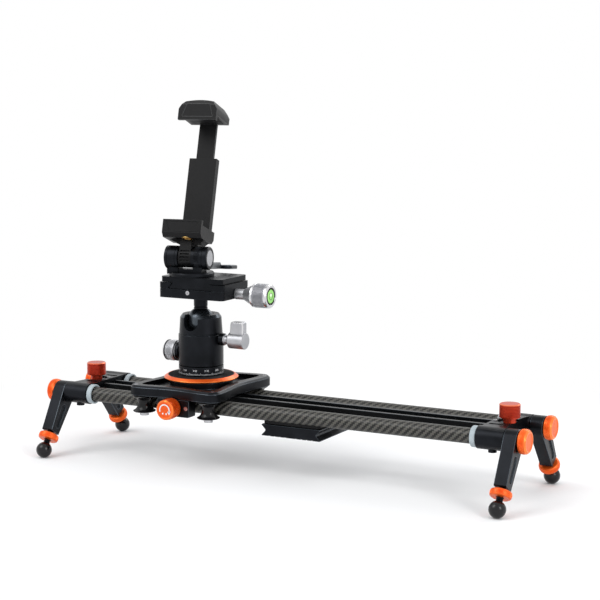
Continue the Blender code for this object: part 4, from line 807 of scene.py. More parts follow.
# %% Tripod plate and its rubber sheet
low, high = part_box("tripod_plate")
mid = middle("tripod_plate")
half = (high.x - low.x) / 2
height = high.z - low.z
undercut = 3.0 * MM
face = 0.6 * MM
end_view = [
    (half, face), (half - undercut, height / 2 - face), (half - undercut, height / 2 + face),
    (half, height - face), (half, height),
]
end_view = [(-half, 0), (half, 0)] + end_view + [(-x, z) for x, z in reversed(end_view)]
cuts = [(CUT, drum(3.2 * MM, -MM, height + MM))]
for step in range(-4, 5):
    if step:
        line = block((step * 4.4 * MM - 0.4 * MM, step * 4.4 * MM + 0.4 * MM), (-30 * MM, 30 * MM),
                     (-MM, 0.4 * MM))
        cuts.append((CUT, line))
plate = part(
    "undercut_tripod_plate", prism(end_view, low.y, high.y, "XZ"), black_metal, black_wear_and_highlight, cuts, bevel=0.25)
hand_over(plate, "frame", "tripod_plate", at((mid.x, 0, low.z)))

low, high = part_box("tripod_pad")
mid = middle("tripod_pad")
half_x, half_y = half_size("tripod_pad").x, half_size("tripod_pad").y
sheet_outline = rounded(
    [(-half_x, -half_y), (half_x, -half_y), (half_x, half_y), (-half_x, half_y)], 2.5 * MM, 6, closed=True)
pad = part("rubber_sheet", prism(sheet_outline, low.z, high.z), rubber, bevel=0.35)
hand_over(pad, "frame", "tripod_pad", at((mid.x, 0, 0)))

# %% [markdown]
# ## End brackets
# One machined bracket at each end joins the rails. Two sleeves grip the tubes, and a web with a hollow
# outer side ties them. The knob sits in a round pocket, and a tongue reaches into the centre bar. It is
# built as the machinist would see it: add the bodies, then cut the holes.

# %% Brackets
sleeve_radius = half_size("end_bracket_left").y - rail_y
sleeve_length = 20.0 * MM
tube_gap = 0.3 * MM
knob_x = middle("top_knob_right").x


def bracket(side_name, side):
    low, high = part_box(f"end_bracket_{side_name}")
    end = max(abs(low.x), abs(high.x))
    tongue_end = min(abs(low.x), abs(high.x))
    start = end - sleeve_length
    web_top = 7.4 * MM
    solid = [(0, start), (sleeve_radius, start), (sleeve_radius, end), (0, end)]
    flip = AXES["X"] if side > 0 else AXES["-X"]
    steps = []
    for row in (-1, 1):
        sleeve = lathe(solid, 80)
        sleeve.transform(flip)
        steps.append((ADD, shifted(sleeve, y=row * rail_y)))
    base_mesh = steps.pop(0)[1]
    reach = rail_y - 0.6 * MM
    depth = 4.0 * MM
    radius = (reach ** 2 + depth ** 2) / (2 * depth)
    spread = math.asin(reach / radius)
    centre = end - 0.6 * MM - depth + radius
    hollow = arc((centre, 0), radius, math.pi + spread, math.pi - spread, 32)
    inner_x = start + 0.6 * MM
    web = [(side * x, y) for x, y in [(inner_x, -reach)] + hollow + [(inner_x, reach)]]
    steps.append((ADD, prism(web, web_top - 11.5 * MM, web_top)))
    tongue_half = half_size("centre_bar").y - 2.5 * MM
    tongue_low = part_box("centre_bar")[0].z + 2.8 * MM - rail_z
    round_end = arc((tongue_end + tongue_half, 0), tongue_half, math.pi / 2, 1.5 * math.pi, 24)
    root = inner_x + tongue_half
    tongue = [(side * x, y) for x, y in [(root, -tongue_half), (root, tongue_half)] + round_end]
    steps.append((ADD, prism(tongue, tongue_low, tongue_low + 4.0 * MM)))
    for row in (-1, 1):
        boss = drum(3.0 * MM, low.z - rail_z, 1.2 * MM - sleeve_radius, 32)
        steps.append((ADD, shifted(boss, x=side * (start + end) / 2, y=row * rail_y)))
    for row in (-1, 1):
        hole = along(drum(tube_radius + tube_gap, -30 * MM, 30 * MM, 80), "X")
        steps.append((CUT, shifted(hole, x=side * (start + end) / 2, y=row * rail_y)))
    pocket = drum(8.6 * MM, web_top - 1.2 * MM, web_top + 5 * MM, 64)
    steps.append((CUT, shifted(pocket, x=side * abs(knob_x))))
    stud_hole = drum(2.3 * MM, web_top - 12.5 * MM, web_top, 32)
    steps.append((CUT, shifted(stud_hole, x=side * abs(knob_x))))
    for row in (-1, 1):
        slot = prism(
            rounded([(-5 * MM, -1.6 * MM), (5 * MM, -1.6 * MM), (5 * MM, 1.6 * MM), (-5 * MM, 1.6 * MM)],
                    1.5 * MM, 6, closed=True), web_top - 0.7 * MM, web_top + 5 * MM)
        steps.append((CUT, shifted(slot, x=side * (start + 7.5 * MM), y=row * 13.6 * MM)))
    item = part(f"machined_bracket_{side_name}", base_mesh, black_metal, black_wear_and_highlight, steps, bevel=0.35)
    hand_over(item, "frame", f"end_bracket_{side_name}", at((0, 0, rail_z)))


for side_name, side in (("left", -1), ("right", 1)):
    bracket(side_name, side)

# %% [markdown]
# Set screws hold the tubes in the sleeves, one in the foot of each sleeve boss, and two screws hold the
# web to the bar.

# %% Bracket screws
for side_name, side in (("left", -1), ("right", 1)):
    low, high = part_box(f"end_bracket_{side_name}")
    end = max(abs(low.x), abs(high.x))
    start = end - sleeve_length
    under = [(side * (start + end) / 2, row * rail_y, low.z + 0.25 * MM) for row in (-1, 1)]
    values = {"Head Radius": 1.8 * MM, "Head Height": 0.5 * MM, "Turn": (math.pi, 0, 0), "Finish": steel}
    hand_over(grow(f"set_screws_{side_name}", screws, values, under), "frame")
    on_top = [(side * (start + 3.2 * MM), row * 3.6 * MM, high.z - 0.2 * MM) for row in (-1, 1)]
    values = {"Head Radius": 1.3 * MM, "Head Height": 0.4 * MM, "Turn": (0, 0, 0), "Finish": steel}
    hand_over(grow(f"web_screws_{side_name}", screws, values, on_top), "frame")

# %% [markdown]
# Pale nylon rings stop the carriage before it hits a sleeve. They are turned with a soft round edge.

# %% Bumper rings
for row_name, side_name in corners:
    name = f"bumper_ring_{row_name}_{side_name}"
    low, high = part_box(name)
    half = (high.x - low.x) / 2
    outer = (high.y - low.y) / 2
    inner = tube_radius + tube_gap
    ring = turned([(inner, -half), (outer, -half), (outer, half), (inner, half)], 1.1, 64)
    item = dressed(f"soft_{name}", ring, nylon)
    hand_over(item, "frame", name, at(middle(name)) @ AXES["X"])

# %% [markdown]
# ## Top knobs
# The clamp knob on each bracket is turned with a stack of round grooves for grip. The grooves belong in the
# profile, since they run straight round, and the rim above them is polished and takes a lighter red coat,
# which is also a painted highlight.

# %% Top knobs
def grooved_knob(name, body):
    low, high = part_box(name)
    radius = (high.x - low.x) / 2
    top = high.z - low.z
    neck_end = top - 9.9 * MM
    stud_end = neck_end - 3.4 * MM
    profile = [(0, 0), (2.0 * MM, 0), (2.0 * MM, stud_end), (4.5 * MM, stud_end), (4.5 * MM, neck_end)]
    profile += [(radius - 0.5 * MM, neck_end), (radius - 0.05 * MM, neck_end + 0.45 * MM)]
    grooves = 8
    pitch = (top - neck_end - 2.0 * MM) / grooves
    for index in range(grooves):
        z = neck_end + 0.5 * MM + index * pitch
        profile += [(radius, z + 0.1 * pitch), (radius, z + 0.55 * pitch),
                    (radius - 0.42 * MM, z + 0.72 * pitch),
                    (radius - 0.42 * MM, z + 0.85 * pitch)]
    profile += [(radius, top - 1.3 * MM), (radius, top - 0.55 * MM)]
    item = dressed(f"grooved_{name}", lathe(profile + [(radius - 0.6 * MM, top), (0, top)], 96), red_metal,
                   red_polish_and_highlight)
    # The top rim faces take the lighter red coat: partly polish, partly a painted highlight.
    for face in item.data.polygons:
        middle_z = face.center.z
        if middle_z > top - 0.7 * MM and off_axis(face) > radius - 0.9 * MM:
            face.material_index = 1
    return hand_over(item, body, name, at((middle(name).x, middle(name).y, low.z)), sharp=30)


for side_name in ("left", "right"):
    grooved_knob(f"top_knob_{side_name}", f"top_knob_{side_name}")

# %% [markdown]
# ## Legs
# A leg is milled flat: a round hub, a straight tapering arm and a long pocket in each face. Each leg is
# made standing straight down and is then turned by its splay, which follows from where its foot is.

# %% Leg places
foot_radius = 6.0 * MM


def leg_place(row_name, side_name):
    """The matrix that takes a piece from hub at the origin and foot along -Z to the real leg."""
    hub = joint_place(f"leg_swing_{row_name}_{side_name}")
    low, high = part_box(f"foot_{row_name}_{side_name}")
    row = -1 if row_name == "front" else 1
    foot_y = (high.y if row > 0 else low.y) - row * foot_radius
    splay = math.atan2(abs(foot_y - hub.y), hub.z - foot_radius)
    return at(hub) @ Matrix.Rotation(row * splay, 4, "X")


leg_half = half_size("leg_front_left").x
for row_name, side_name in corners:
    hub_radius, end_half, end_at = 8.0 * MM, 5.25 * MM, 35.0 * MM
    tangent = math.asin((hub_radius - end_half) / end_at)
    outline = arc((0, 0), hub_radius, -tangent, math.pi + tangent, 48)
    outline += rounded([(-end_half, -end_at + 2 * MM), (-end_half, -end_at), (end_half, -end_at),
                        (end_half, -end_at + 2 * MM)], 1.2 * MM, 4)
    steps = [(CUT, along(drum(3.3 * MM, -2 * leg_half, 2 * leg_half, 40), "X")),
             (CUT, drum(2.8 * MM, -end_at - MM, -17.7 * MM, 32))]
    pocket_r = 2.5 * MM
    pocket = arc((0, -11.5 * MM - pocket_r), pocket_r, 0, math.pi, 16)
    pocket += arc((0, -31.0 * MM + pocket_r), pocket_r, math.pi, 2 * math.pi, 16)
    for side in (-1, 1):
        floor_x, outside = sorted((side * (leg_half - 1.0 * MM), side * 2 * leg_half))
        steps.append((CUT, prism(pocket, floor_x, outside, "YZ")))
    leg = part(f"milled_leg_{row_name}_{side_name}", prism(outline, -leg_half, leg_half, "YZ"),
               black_metal, black_wear_and_highlight, steps, bevel=0.4)
    hand_over(leg, f"leg_{row_name}_{side_name}", f"leg_{row_name}_{side_name}",
              leg_place(row_name, side_name))

# %% [markdown]
# The foot is a rubber ball moulded on a screw. The thread is short, so its turns are drawn as rings in
# the profile; a real helix would look the same at this size.

# %% Feet
for row_name, side_name in corners:
    reach = 49.8 * MM
    stud = 2.5 * MM
    profile = [(0, -20 * MM), (stud - 0.3 * MM, -20 * MM)]
    for index in range(24):
        z = -20.4 * MM - index * 1.0 * MM
        profile += [(stud, z - 0.25 * MM), (stud - 0.32 * MM, z - 0.75 * MM)]
    start = math.acos(stud / foot_radius)
    ball = [(x, z - reach) for x, z in arc((0, 0), foot_radius, start, -math.pi / 2, 28)]
    foot = dressed(f"ball_foot_{row_name}_{side_name}",
                      lathe(profile + ball[:-1] + [(0, -reach - foot_radius)], 64), foot_rubber, black_metal)
    neck = ball[0][1]
    for face in foot.data.polygons:
        if face.center.z > neck:
            face.material_index = 1
    hand_over(foot, f"foot_{row_name}_{side_name}", f"foot_{row_name}_{side_name}",
              leg_place(row_name, side_name), sharp=50)

# %% [markdown]
# ## Knurled rings and knobs
# The lock ring and the leg knob share one recipe: a turned core, and the knurl tree for the band round
# its middle. The tips of the teeth reach the outer radius.

# %% A knurled band
def knurled_band(name, radius, low, high, around, height, finish, kind="diamond"):
    """Teeth from low to high on a cylinder about Z whose tips reach the radius."""
    base = radius - height
    width = math.pi * base / around
    if kind == "diamond":
        pitch = width * 1.05
        rows = max(2, int((high - low) / pitch) - 1)
        pitch = (high - low) / (rows + 1)
        values = {"Start": low + pitch, "Rows": rows, "Row Step": pitch, "Tooth Length": pitch,
                  "Tooth Width": width, "Tooth Turn": 0.0}
    else:
        share = 1 / math.cos(math.pi / 4)
        values = {"Start": (low + high) / 2, "Rows": 1, "Row Step": 0.0, "Tooth Turn": math.pi / 4,
                  "Tooth Length": share * (high - low) / 2, "Tooth Width": share * width * 0.95}
    values.update({"Radius": base, "Around": around, "Tooth Height": height, "Finish": finish})
    return grow(name, knurl, values)


def merge(name, items):
    """Join several meshes into one piece, so that a knob and its teeth ride as one."""
    mesh = bmesh.new()
    finishes = []
    for item in items:
        slots = list(item.data.materials)
        first = len(finishes)
        finishes += slots
        before = len(mesh.faces)
        mesh.from_mesh(item.data)
        mesh.faces.ensure_lookup_table()
        for face in mesh.faces[before:]:
            face.material_index += first
    for item in items:
        bpy.data.objects.remove(item)
    merged = new_object(name, mesh)
    for finish in finishes:
        merged.data.materials.append(finish)
    return merged


# %% Lock rings
for row_name, side_name in corners:
    name = f"lock_ring_{row_name}_{side_name}"
    top, bottom, radius, bore = -36.5 * MM, -41.5 * MM, 7.7 * MM, 2.8 * MM
    core = radius - 0.3 * MM
    profile = [(bore, bottom), (core - 0.9 * MM, bottom), (core, bottom + 0.6 * MM), (core, top - 0.6 * MM),
               (core - 0.9 * MM, top), (bore, top)]
    ring = dressed("core", turned(profile, 0.2, 72), orange_metal)
    teeth = knurled_band("teeth", radius, bottom + 0.6 * MM, top - 0.6 * MM, 52, 0.35 * MM, orange_metal,
                         "straight")
    hand_over(merge(f"knurled_{name}", [ring, teeth]), name, name,
              leg_place(row_name, side_name), sharp=30)

# %% [markdown]
# The leg knob's outer face is dished, with a polished ring at its rim, whose lighter orange coat is also a
# painted highlight.

# %% Leg knobs
for row_name, side_name in corners:
    name = f"leg_knob_{row_name}_{side_name}"
    low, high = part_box(name)
    radius = (high.y - low.y) / 2
    length = 6.4 * MM
    stud_length = (high.x - low.x) - length
    core = radius - 0.3 * MM
    profile = [
        (0, -stud_length), (3.0 * MM, -stud_length), (3.0 * MM, 0), (core - 1.1 * MM, 0), (core, 0.8 * MM),
        (core, length - 1.1 * MM), (core - 1.1 * MM, length), (core - 2.1 * MM, length),
        (core - 2.7 * MM, length - 0.35 * MM), (0, length - 0.35 * MM),
    ]
    knob = dressed("core", turned(profile, 0.2, 96), orange_metal, orange_polish_and_highlight)
    # The rim faces take the lighter orange coat: partly polish, partly a painted highlight.
    for face in knob.data.polygons:
        across = off_axis(face)
        if face.center.z > length - 1.0 * MM and across > core - 2.2 * MM:
            face.material_index = 1
    teeth = knurled_band("teeth", radius, 0.9 * MM, length - 1.2 * MM, 64, 0.35 * MM, orange_metal,
                         "straight")
    side = 1 if side_name == "right" else -1
    inner = (low.x if side > 0 else high.x) + side * stud_length
    place = at((inner, middle(name).y, middle(name).z)) @ AXES["X" if side > 0 else "-X"]
    hand_over(merge(f"knurled_{name}", [knob, teeth]), name, name, place, sharp=30)

# %% [markdown]
# ## Carriage
# The carriage plate is milled from one block. Its sides curve in between the corners, a rim stands
# round a sunk floor, and a round boss in the middle carries the turntable. The outline is one function
# of its size, so the outer wall, its chamfer and the recess all follow the same curve.

# %% The plate's outline
def drawn_in(length, width, corner, waist, steps=10):
    """A rectangle with round corners whose sides curve inwards."""
    points = []
    quarter = math.pi / 2
    places = [(1, -1), (1, 1), (-1, 1), (-1, -1)]
    for index, (sx, sy) in enumerate(places):
        centre = (sx * (length / 2 - corner), sy * (width / 2 - corner))
        start = -quarter + index * quarter
        points += arc(centre, corner, start, start + quarter, steps)
        end = points[-1]
        following = places[(index + 1) % 4]
        normal = (math.cos(start + quarter), math.sin(start + quarter))
        target = (following[0] * (length / 2 - corner) + corner * normal[0],
                  following[1] * (width / 2 - corner) + corner * normal[1])
        for step in range(1, 3 * steps):
            share = step / (3 * steps)
            draw = waist * math.sin(math.pi * share) ** 2
            points.append((end[0] + (target[0] - end[0]) * share - normal[0] * draw,
                           end[1] + (target[1] - end[1]) * share - normal[1] * draw))
    return points


# %% Carriage plate
low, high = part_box("carriage_plate")
length, width = high.x - low.x, high.y - low.y
boss_top = high.z - low.z
plate_top = boss_top - 0.8 * MM
chamfer, corner, waist = 1.6 * MM, 8.0 * MM, 3.6 * MM
mesh = bmesh.new()
rings = []
for inset, z in ((0.5 * MM, 0.0), (0.0, 0.5 * MM), (0.0, plate_top - chamfer), (chamfer, plate_top)):
    outline = drawn_in(length - 2 * inset, width - 2 * inset, corner - inset, waist)
    rings.append([mesh.verts.new((x, y, z)) for x, y in outline])
mesh.faces.new(rings[0])
mesh.faces.new(rings[-1])
for lower, upper in zip(rings, rings[1:]):
    for index in range(len(lower)):
        following = (index + 1) % len(lower)
        mesh.faces.new((lower[index], lower[following], upper[following], upper[index]))
bmesh.ops.recalc_face_normals(mesh, faces=mesh.faces)
inset = 2 * (6.5 * MM + chamfer / 2)
recess = drawn_in(length - inset, width - inset, 4.0 * MM, waist)
steps = [
    (CUT, prism(recess, plate_top - 3.5 * MM, plate_top + 5 * MM)),
    (ADD, drum(24.0 * MM, plate_top / 2, boss_top, 96)),
]
screw_inset = 5.2 * MM
roller_reach = Vector((abs(middle("roller_front_right").x - slide_x), middle("roller_rear_left").y))
for sx in (-1, 1):
    for sy in (-1, 1):
        hole = drum(2.3 * MM, -MM, 3.6 * MM, 32)
        steps.append((CUT, shifted(hole, sx * roller_reach.x, sy * roller_reach.y)))
        pad_hole = drum(1.9 * MM, plate_top - 0.5 * MM, plate_top + MM, 32)
        steps.append((CUT, shifted(pad_hole, sx * (length / 2 - screw_inset),
            sy * (width / 2 - screw_inset))))
plate = part("milled_carriage_plate", mesh, black_metal, black_wear_and_highlight, steps, bevel=0.3)
hand_over(plate, "carriage", "carriage_plate", at((slide_x, 0, low.z)))

# %% [markdown]
# Four small socket screws mark the corners of the plate.

# %% Carriage screws
low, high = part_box("carriage_plate")
screw_z = low.z + plate_top - 0.3 * MM
spots = [(slide_x + sx * (length / 2 - screw_inset), sy * (width / 2 - screw_inset), screw_z)
         for sx in (-1, 1) for sy in (-1, 1)]
values = {"Head Radius": 1.6 * MM, "Head Height": 0.4 * MM, "Turn": (0, 0, 0), "Finish": steel}
hand_over(grow("corner_screws", screws, values, spots), "carriage")

# %% [markdown]
# ## Turntable disc
# The disc is turned: a cone from the foot to the lip, and a second cone to the top. The cone under the lip
# mirrors the dark plate, so it looks deep red, while the lip's faces get the lighter orange coat, a painted
# highlight. The pad on it is rubber with a fine diamond pattern.

# %% Disc
low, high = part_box("mounting_disc")
radius = (high.x - low.x) / 2
height = 3.6 * MM
pad_low, pad_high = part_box("mounting_pad")
pad_radius = (pad_high.x - pad_low.x) / 2
seat = pad_low.z - low.z - 0.3 * MM
profile = [
    (0, 0), (23.5 * MM, 0), (radius - 0.15 * MM, 1.1 * MM), (radius, 1.3 * MM), (radius, 1.75 * MM),
    (radius - 0.2 * MM, 2.0 * MM), (25.6 * MM, height), (pad_radius + 0.3 * MM, height),
    (pad_radius + 0.3 * MM, seat), (3.0 * MM, seat), (3.0 * MM, high.z - low.z), (0, high.z - low.z),
]
disc = dressed("turned_disc", turned(profile, 0.12, 144), orange_metal, orange_polish_and_highlight)
# The outermost faces, the lip, take the lighter orange coat: a painted highlight.
for face in disc.data.polygons:
    across = off_axis(face)
    if across > radius - 0.6 * MM:
        face.material_index = 1
hand_over(disc, "carriage", "mounting_disc", at((slide_x, 0, low.z)), sharp=30)

# %% [markdown]
# The pad's diamonds are small pyramids set on rings. The knurl tree sets teeth on a cylinder, so the
# pad gets a tree of its own, which lays a like tooth flat: the quotient gives the ring and the
# remainder gives the place on it.

# %% Pad with diamonds
diamonds = new_tree("diamonds", [
    ("Inner", "Float", 17.5 * MM), ("Ring Step", "Float", 0.9 * MM), ("Rings", "Int", 8),
    ("Around", "Int", 120),
    ("Level", "Float", 0.0), ("Tooth", "Vector", (MM, MM, MM)), ("Finish", "Material", None),
])
entry = add_node(diamonds, "NodeGroupInput")
index = add_node(diamonds, "GeometryNodeInputIndex").outputs[0]
column = maths(diamonds, "MODULO", index, entry.outputs["Around"])
ring = maths(diamonds, "FLOOR", maths(diamonds, "DIVIDE", index, entry.outputs["Around"]))
shift = maths(diamonds, "MULTIPLY", maths(diamonds, "MODULO", ring, 2.0), 0.5)
turn = maths(diamonds, "DIVIDE", maths(diamonds, "ADD", column, shift), entry.outputs["Around"])
angle = maths(diamonds, "MULTIPLY", turn, 2 * math.pi)
reach = maths(diamonds, "ADD", maths(diamonds, "MULTIPLY", ring, entry.outputs["Ring Step"]),
              entry.outputs["Inner"])
place = make_node(diamonds, "ShaderNodeCombineXYZ", {"X": maths(diamonds, "MULTIPLY", reach,
    maths(diamonds, "COSINE", angle)), "Y": maths(diamonds, "MULTIPLY", reach,
        maths(diamonds, "SINE", angle)), "Z": entry.outputs["Level"]})
dots = make_node(diamonds, "GeometryNodePoints", {"Count": maths(diamonds, "MULTIPLY",
    entry.outputs["Around"], entry.outputs["Rings"]), "Position": place.outputs[0]})
facing = make_node(diamonds, "ShaderNodeCombineXYZ", {"Z": angle})
turn_node = make_node(diamonds, "FunctionNodeEulerToRotation", {0: facing.outputs[0]})
tooth = make_node(diamonds, "GeometryNodeMeshCone", {"Vertices": 4, "Radius Top": 0.3, "Depth": 1.0})
field = make_node(diamonds, "GeometryNodeInstanceOnPoints",
                  {"Points": dots.outputs[0], "Instance": tooth.outputs["Mesh"],
                   "Rotation": turn_node.outputs[0], "Scale": entry.outputs["Tooth"]})
end_tree(diamonds, entry, field.outputs[0])

pad_height = pad_high.z - pad_low.z
tooth_height = 0.22 * MM
profile = [(3.3 * MM, 0), (pad_radius, 0), (pad_radius, pad_height - tooth_height),
           (3.3 * MM, pad_height - tooth_height)]
base = dressed("base", turned(profile, 0.15, 128), rubber)
values = {"Inner": 17.4 * MM, "Ring Step": 0.66 * MM, "Rings": 11, "Around": 104,
          "Level": pad_height - tooth_height - 0.02 * MM,
          "Tooth": (0.62 * MM, 0.60 * MM, tooth_height), "Finish": rubber}
field = grow("field", diamonds, values)
hand_over(merge("diamond_pad", [base, field]), "carriage", "mounting_pad",
          at((slide_x, 0, pad_low.z)), sharp=30)

# %% [markdown]
# ## Rollers
# A roller's waist follows the tube that it runs on, so its radius at each height is fixed by one
# rule: the axis distance less the height of the tube's circle. That rule is the shape, so the roller
# is a plain cylinder of many rows whose points the tree moves in or out to where the rule puts them.
# The tree then bores the wheel for its bolt.

# %% The roller tree
hourglass = new_tree("hourglass", [
    ("Half Height", "Float", 6 * MM), ("Flange", "Float", 8.6 * MM), ("Waist", "Float", 4.9 * MM),
    ("Follow", "Float", 5.8 * MM), ("Bore", "Float", 2.3 * MM), ("Finish", "Material", None),
])
entry = add_node(hourglass, "NodeGroupInput")
stock = make_node(hourglass, "GeometryNodeMeshCylinder",
                  {"Vertices": 72, "Side Segments": 40, "Radius": 1.0,
                   "Depth": maths(hourglass, "MULTIPLY", entry.outputs["Half Height"], 2.0)},
                   fill_type="TRIANGLE_FAN")
where = add_node(hourglass, "GeometryNodeInputPosition")
split = make_node(hourglass, "ShaderNodeSeparateXYZ", {0: where.outputs[0]})
follow_sq = maths(hourglass, "MULTIPLY", entry.outputs["Follow"], entry.outputs["Follow"])
height_sq = maths(hourglass, "MULTIPLY", split.outputs["Z"], split.outputs["Z"])
rise = maths(hourglass, "SQRT", maths(hourglass, "MAXIMUM",
    maths(hourglass, "SUBTRACT", follow_sq, height_sq), 0.0))
centre = maths(hourglass, "ADD", entry.outputs["Waist"], entry.outputs["Follow"])
ruled = maths(hourglass, "MINIMUM", maths(hourglass, "SUBTRACT", centre, rise), entry.outputs["Flange"])
from_end = maths(hourglass, "SUBTRACT", entry.outputs["Half Height"],
                 maths(hourglass, "ABSOLUTE", split.outputs["Z"]))
rim = maths(hourglass, "SUBTRACT", entry.outputs["Flange"], maths(hourglass, "MULTIPLY", maths(
    hourglass, "MAXIMUM", maths(hourglass, "SUBTRACT", 0.5 * MM, from_end), 0.0), 0.9))
radius_now = maths(hourglass, "MINIMUM", ruled, rim)
flat_x = maths(hourglass, "MULTIPLY", split.outputs["X"], radius_now)
flat_y = maths(hourglass, "MULTIPLY", split.outputs["Y"], radius_now)
moved_to = make_node(hourglass, "ShaderNodeCombineXYZ", {"X": flat_x, "Y": flat_y, "Z": split.outputs["Z"]})
shape = make_node(hourglass, "GeometryNodeSetPosition", {"Geometry": stock.outputs["Mesh"],
    "Position": moved_to.outputs[0]})
rod = make_node(hourglass, "GeometryNodeMeshCylinder", {"Vertices": 48, "Radius": entry.outputs["Bore"],
    "Depth": maths(hourglass, "MULTIPLY", entry.outputs["Half Height"], 4.0)})
bored = make_node(hourglass, "GeometryNodeMeshBoolean", {"Mesh 1": shape.outputs[0],
    "Mesh 2": rod.outputs["Mesh"]}, operation="DIFFERENCE", solver="EXACT")
end_tree(hourglass, entry, bored.outputs["Mesh"])
print("roller tree:", len(hourglass.nodes), "nodes")

# %% [markdown]
# Each roller gets its steel washers, which mark its bearings. They are thin turned rings at the
# roller's ends.

# %% Rollers with washers
for row_name, side_name in corners:
    name = f"roller_{row_name}_{side_name}"
    half = half_size(name)
    values = {"Half Height": half.z - 0.12 * MM, "Flange": half.x, "Waist": 4.9 * MM,
              "Follow": tube_radius + tube_gap,
              "Finish": gloss_plastic}
    wheel = grow("wheel", hourglass, values)
    pieces = [wheel]
    for side in (-1, 1):
        edge = side * half.z
        face = side * (half.z - 0.3 * MM)
        ring = [(2.4 * MM, face), (4.3 * MM, face), (4.3 * MM, edge), (2.4 * MM, edge)]
        washer = dressed("washer", turned(ring, 0.06, 48), steel)
        pieces.append(washer)
    hand_over(merge(f"hourglass_{name}", pieces), name, name, at(middle(name)), sharp=35)

# %% [markdown]
# The roller bolts come up from below. Each has a round socket in its head and a plain shank.

# %% Roller bolts
for row_name, side_name in corners:
    name = f"roller_bolt_{row_name}_{side_name}"
    low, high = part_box(name)
    height = high.z - low.z
    head, shank = 2.5 * MM, 2.0 * MM
    profile = [(0, 1.4 * MM), (1.5 * MM, 1.4 * MM), (1.5 * MM, 0), (3.5 * MM, 0), (3.5 * MM, head),
               (shank, head),
               (shank, height), (0, height)]
    bolt = dressed(f"socket_{name}", turned(profile, 0.25, 48), steel)
    hand_over(bolt, "carriage", name, at((middle(name).x, middle(name).y, low.z)))

# %% [markdown]
# ## Brake
# The block hangs from the plate's front edge. Its knob turns a screw that pushes a rubber shoe on the
# tube. The knob's face carries a turning arrow and two dots, set in as thin pale inlays.

# %% Brake block and shoe
low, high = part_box("brake_block")
mid = middle("brake_block")
front_view = rounded([(low.x, low.z), (high.x, low.z), (high.x, high.z), (low.x, high.z)], 1.6 * MM, 5,
                     closed=True)
knob_axis_z = middle("brake_knob").z
screw_reach = 11.2 * MM
steps = [(CUT, shifted(along(drum(2.8 * MM, -high.y - MM, -low.y + MM, 32), "-Y"), mid.x, 0, knob_axis_z)),
         (CUT, shifted(along(drum(4.3 * MM, -high.y - MM, -high.y + 3.9 * MM, 40), "-Y"), mid.x, 0,
                       knob_axis_z))]
for side in (-1, 1):
    seat_hole = drum(1.7 * MM, -low.y - 0.7 * MM, -low.y + MM, 32)
    steps.append((CUT, shifted(along(seat_hole, "-Y"), mid.x + side * screw_reach, 0, knob_axis_z)))
block_piece = part("milled_brake_block", prism(front_view, low.y, high.y, "XZ"), black_metal, black_wear_and_highlight,
                   steps, bevel=0.35)
hand_over(block_piece, "carriage", "brake_block")

low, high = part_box("brake_shoe")
length = high.y - low.y
profile = [(0, 0), ((high.x - low.x) / 2, 0), ((high.x - low.x) / 2, length), (0, length)]
shoe = dressed("brake_shoe_rubber", turned(profile, 0.4, 48), rubber)
hand_over(shoe, "carriage", "brake_shoe", at((middle("brake_shoe").x, high.y,
    middle("brake_shoe").z)) @ AXES["-Y"])

face_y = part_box("brake_block")[0].y + 0.3 * MM
spots = [(mid.x + side * screw_reach, face_y, knob_axis_z) for side in (-1, 1)]
values = {"Head Radius": 1.5 * MM, "Head Height": 0.6 * MM, "Turn": (math.pi / 2, 0, 0), "Finish": steel}
hand_over(grow("brake_screws", screws, values, spots), "carriage")


# %% Brake knob
def flat_ribbon(points, width, height):
    """A thin strip along a chain of points in XY, from height down to just under it."""
    outer, inner = [], []
    for index, point in enumerate(points):
        before, after = points[max(index - 1, 0)], points[min(index + 1, len(points) - 1)]
        way = (Vector(after) - Vector(before)).normalized()
        side = Vector((-way.y, way.x)) * width / 2
        outer.append(tuple(Vector(point) + side))
        inner.append(tuple(Vector(point) - side))
    return prism(outer + inner[::-1], height - 0.15 * MM, height)


low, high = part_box("brake_knob")
radius = (high.x - low.x) / 2
length = 11.4 * MM
screw_length = (high.y - low.y) - length
core = radius - 0.35 * MM
profile = [
    (0, -screw_length), (2.5 * MM, -screw_length), (2.5 * MM, 0), (core - 1.2 * MM, 0), (core, 0.9 * MM),
    (core, length - 1.0 * MM), (core - 0.9 * MM, length - 0.1 * MM), (core - 1.3 * MM, length - 0.1 * MM),
    (core - 1.5 * MM, length - 0.3 * MM), (0, length - 0.3 * MM),
]
knob = dressed("core", turned(profile, 0.2, 96), orange_metal, orange_polish_and_highlight)
# The rim faces take the lighter orange coat: partly polish, partly a painted highlight.
for face in knob.data.polygons:
    if face.center.z > length - 0.95 * MM and off_axis(face) > core - 1.4 * MM:
        face.material_index = 1
teeth = knurled_band("teeth", radius, 1.0 * MM, length - 1.1 * MM, 56, 0.4 * MM, orange_metal, "straight")
marks = []
sweep = arc((0, 0), core * 0.55, math.radians(200), math.radians(-20), 24)
ribbon = new_object("mark", flat_ribbon(sweep, 0.9 * MM, length - 0.2 * MM))
tip = sweep[-1]
head_points = [(tip[0] - 1.5 * MM, tip[1] + 0.6 * MM), (tip[0] + 1.5 * MM, tip[1] + 0.9 * MM),
               (tip[0] + 0.2 * MM, tip[1] - 1.9 * MM)]
arrow = new_object("mark", prism(head_points, length - 0.35 * MM, length - 0.2 * MM))
for item in (ribbon, arrow):
    item.data.materials.append(white_mark)
    marks.append(item)
for side in (-1, 1):
    spot = dressed("mark", shifted(drum(0.65 * MM, length - 0.35 * MM, length - 0.2 * MM, 24),
        side * 1.5 * MM, -2.6 * MM), white_mark)
    marks.append(spot)
place = at((middle("brake_knob").x, high.y - screw_length, middle("brake_knob").z)) @ AXES["-Y"]
hand_over(merge("knurled_brake_knob", [knob, teeth] + marks), "brake_knob", "brake_knob",
          place, sharp=30)

